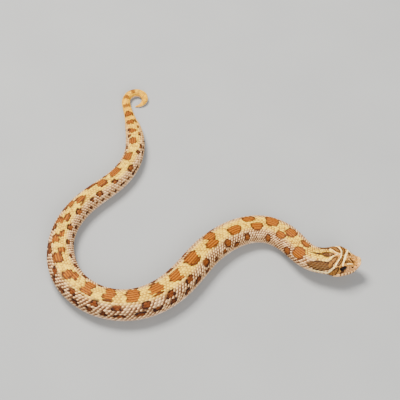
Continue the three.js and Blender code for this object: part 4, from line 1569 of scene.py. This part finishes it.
def paint_scales(name, roughness):
    paint = Paint(name)
    colour = snake_ground(paint)
    for layer in (*GROUND_LAYERS, *MARK_LAYERS, pale_edges):
        colour = layer(paint, colour)
    colour = paint.mix(paint.times(paint.value("chance"), 0.2), colour, UNEVEN_TINT, "MULTIPLY")
    colour = paint.mix(paint.times(paint.noise(0.35, 3, 0.35, 0.7), 0.16), colour, DUST_TINT, "MULTIPLY")
    rough = paint.between(paint.noise(0.8, 2, 0.2, 0.8), *roughness)
    return paint.finish(colour, rough, 0.012, paint.noise(0.09, 3))


scale_paint = paint_scales("keeled scales", (0.42, 0.6))
plate_paint = paint_scales("smooth belly plates", (0.3, 0.45))
for piece in coat:
    piece.data.materials.append(plate_paint if piece.name.startswith("plates") else scale_paint)
print("painted", len(coat), "coat pieces")

# %% [markdown]
# The skin shows on the head and between the scales. On the face it is ochre and mottled with brown. The
# snout is darker, its shield has a pale worn rim, the face in front of the eye is pinker, and the pale lips
# have brown bars.

# %% Ground of the face
SNOUT, BEFORE_EYE, WORN_RIM = (5.5, 4.0), (5.6, 4.4), (1.7, 0.6)  # millimetres behind the snout


def face_ground(paint):
    down, along, chance = paint.values("down_flank", "behind_snout", "chance")
    face = paint.mix(paint.soft_step(along, 4.4, 3.4), HEAD_OCHRE, SNOUT_OCHRE)
    face = paint.mix(paint.times(chance, 0.35), face, PATCH_FLECK)
    on_snout = paint.soft_step(along, *SNOUT)
    face = paint.mix(paint.times(paint.noise(0.4, 3, 0.5, 0.58), on_snout, 0.5), face, LIP_PINK)
    before_eye = paint.times(paint.soft_step(down, 0.27, 0.33), paint.soft_step(along, *BEFORE_EYE))
    face = paint.mix(paint.times(before_eye, 0.6), face, FACE_PINK)
    strength = paint.times(paint.between(on_snout, 0.6, 1.0), paint.between(before_eye, 1.0, 0.7), 0.7)
    face = paint.mix(paint.times(paint.noise(0.36, 3, 0.5, 0.6), strength), face, PATCH_BROWN)
    worn = paint.times(paint.soft_step(along, *WORN_RIM), paint.noise(0.4, 3, 0.35, 0.65))
    return paint.mix(paint.times(worn, 0.4), face, PALE_LINE)


def lips(paint, face):
    bar, over_mouth = paint.values("lip_bar", "over_mouth")
    barred = paint.mix(paint.soft_step(bar, 0.2, 0.55), LIP_PINK, LIP_BROWN)
    return paint.mix(paint.soft_step(over_mouth, 0.95, 0.75), face, barred)


print("the snout is mottled up to", SNOUT[0], "mm behind its tip")

# %% [markdown]
# Over that ground the skin carries the same marks as the scales, for they continue each other. The head
# patches are flecked and lighter in their middle. Seams, the line of the mouth, the orbits and the nostrils
# are dark, because little light gets into them on the real animal and dust collects there.

# %% Paint for the skin
FACE_ENDS = (8.4, 9.6)


def skin_ground(paint):
    """The face in front, the ground of the body behind it, and a darker tint under the coat."""
    along, bare = paint.values("behind_snout", "bare")
    between = paint.mix(0.6, snake_ground(paint), BETWEEN_SCALES_TINT, "MULTIPLY")
    face = lips(paint, face_ground(paint))
    head_ground = paint.mix(paint.soft_step(along, *FACE_ENDS), face, snake_ground(paint))
    return paint.mix(bare, between, head_ground)


def skin_marks(paint, colour):
    colour = add_marks(paint, colour, BLOTCH_ORANGE, BLOTCH_RIM, "back_mark")
    colour = add_marks(paint, colour, FLANK_MARK, FLANK_RIM, "flank_mark")
    brown = paint.mix(paint.times(paint.noise(0.2, 3, 0.48, 0.6), 0.85), PATCH_BROWN, PATCH_FLECK)
    core = paint.soft_step(paint.value("head_patch"), -0.3, -0.6)
    brown = paint.mix(paint.times(core, 0.4), brown, PATCH_FLECK)
    colour = add_marks(paint, colour, brown, PATCH_RIM, "head_patch", *PATCH_RIM_SPAN)
    speckle = paint.times(paint.noise(0.22, 4, 0.52, 0.62), paint.value("bare"), 0.3)
    colour = paint.mix(speckle, colour, SPECKLE_TINT, "MULTIPLY")
    return add_pale_lines(paint, colour)


def paint_skin():
    paint = Paint("skin and head plates")
    colour = skin_marks(paint, skin_ground(paint))
    eye_stripe, mouth, hollow = paint.values("eye_stripe", "mouth", "hollow")
    seam_gap, bare = paint.values("seam_gap", "bare")
    colour = paint.mix(paint.times(paint.soft_step(eye_stripe, 0.12, -0.2), 0.9), colour, STRIPE_BROWN)
    seam = paint.times(paint.soft_step(seam_gap, 0.1, 0.02), bare, 0.7)
    colour = paint.mix(seam, colour, SEAM_TINT, "MULTIPLY")
    colour = paint.mix(paint.times(mouth, 0.75), colour, DEEP_BROWN)
    colour = paint.mix(paint.soft_step(hollow, 0.5, 0.95), colour, DEEP_BROWN)
    rough = paint.between(paint.noise(0.6, 2, 0.2, 0.8), 0.36, 0.52)
    return paint.finish(colour, rough, 0.01, paint.noise(0.06, 3))


skin.data.materials.append(paint_skin())
print("the paint of the skin has", len(skin.data.materials[0].node_tree.nodes), "nodes")

# %% [markdown]
# The eye is nearly black, with a thin brown iris that is lighter above. It is wet, so its surface is almost
# as smooth as glass and keeps the lights as small sharp points.

# %% Paint for the eyes
# Painted shade: outside the iris the eyeball is near black, as it lies in the shadow of the orbit.
PUPIL, EYEBALL_IN_SHADE = shade(3, 2, 2), shade(6, 3, 2)
IRIS_LOW, IRIS_HIGH, IRIS_FLECK = shade(40, 12, 6), shade(92, 40, 16), shade(22, 9, 5)
PUPIL_EDGE, IRIS_EDGE = (0.42, 0.5), (0.74, 0.98)  # radians from the middle of the pupil
SHEEN_OF_EYE, ROUGHNESS_OF_EYE = 0.16, 0.09


def paint_eye():
    paint = Paint("wet dark eye")
    out, up = paint.values("from_pupil", "up_in_eye")
    iris = paint.mix(paint.soft_step(up, -0.1, 0.6), IRIS_LOW, IRIS_HIGH)
    iris = paint.mix(paint.noise(0.12, 3, 0.4, 0.65), iris, IRIS_FLECK)
    colour = paint.mix(paint.soft_step(out, *PUPIL_EDGE), PUPIL, iris)
    # painted shade on the eyeball outside the iris
    colour = paint.mix(paint.soft_step(out, *IRIS_EDGE), colour, EYEBALL_IN_SHADE)
    paint.shader.inputs["Specular IOR Level"].default_value = SHEEN_OF_EYE
    return paint.finish(colour, ROUGHNESS_OF_EYE)


eye_paint = paint_eye()
for eye in eyes:
    eye.data.materials.append(eye_paint)
print("painted", " and ".join(eye.name for eye in eyes))

# %% [markdown]
# ## The studio
#
# The snake lies on a plain pale floor. Bare sunlight would cut hard shadows between the scales, so a large
# soft light from above, a weak second one and a dim sky keep them gentle.

# %% Floor and lights
FLOOR_SIZE, FLOOR_DROP = 4, 0.0001  # metres
FLOOR_DARK, FLOOR_LIGHT = shade(146, 148, 149), shade(153, 155, 155)
SKY_COLOUR, SKY_STRENGTH = (0.9, 0.94, 1.0, 1), 0.5
LIGHTS = {  # place and size in metres, power in watts, colour
    "key light": ((-0.2, 0.22, 0.6), 0.28, 12.5, (1, 0.95, 0.88)),
    "fill light": ((0.15, -0.6, 0.4), 0.4, 7.0, (1, 0.97, 0.94)),
}

bpy.ops.mesh.primitive_plane_add(size=FLOOR_SIZE, location=(0, 0, -FLOOR_DROP))
floor = bpy.context.object
floor.name = "floor"
floor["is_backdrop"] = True
floor_paint = Paint("pale floor")
floor_tone = floor_paint.mix(floor_paint.noise(30, 2), FLOOR_DARK, FLOOR_LIGHT)
floor.data.materials.append(floor_paint.finish(floor_tone, 0.8))

for name, (place, size, power, colour) in LIGHTS.items():
    lamp = bpy.data.lights.new(name, "AREA")
    lamp.size, lamp.energy, lamp.color = size, power, colour
    light = bpy.data.objects.new(name, lamp)
    light.location = place
    light.rotation_euler = (-Vector(place)).to_track_quat("-Z", "Y").to_euler()
    bpy.context.collection.objects.link(light)

sky = bpy.data.worlds.new("soft sky")
sky.use_nodes = True
background = sky.node_tree.nodes["Background"]
background.inputs["Color"].default_value = SKY_COLOUR
background.inputs["Strength"].default_value = SKY_STRENGTH
bpy.context.scene.world = sky
print("lit by", len(LIGHTS), "soft lights and a sky")

# %% [markdown]
# A camera that stands close makes the near bend of a flat animal look too big. So this one looks down from
# far off with a narrow angle, and the snake keeps its proportions.

# %% Camera
VIEW_ANGLE, LOOK_DOWN, CAMERA_AWAY = 16.0, 50.0, 435.1  # degrees, degrees and millimetres
LOOK_AT = Vector((-0.86, 0.5, 0)) * MM
lens = bpy.data.cameras.new("camera")
lens.angle = math.radians(VIEW_ANGLE)
camera = bpy.data.objects.new("camera", lens)
backwards = Vector((0, -math.cos(math.radians(LOOK_DOWN)), math.sin(math.radians(LOOK_DOWN))))
camera.location = LOOK_AT + backwards * CAMERA_AWAY * MM
camera.rotation_euler = (-backwards).to_track_quat("-Z", "Y").to_euler()
bpy.context.collection.objects.link(camera)
bpy.context.scene.camera = camera
print("the camera stands", round(camera.location.z / MM), "mm over the floor")

# %% [markdown]
# ## Finish
#
# Last, we print the size of the dressed snake.

# %% Print the size of the dressed snake
low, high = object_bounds()
print("the dressed snake is", [round((b - a) / MM, 1) for a, b in zip(low, high)], "mm")
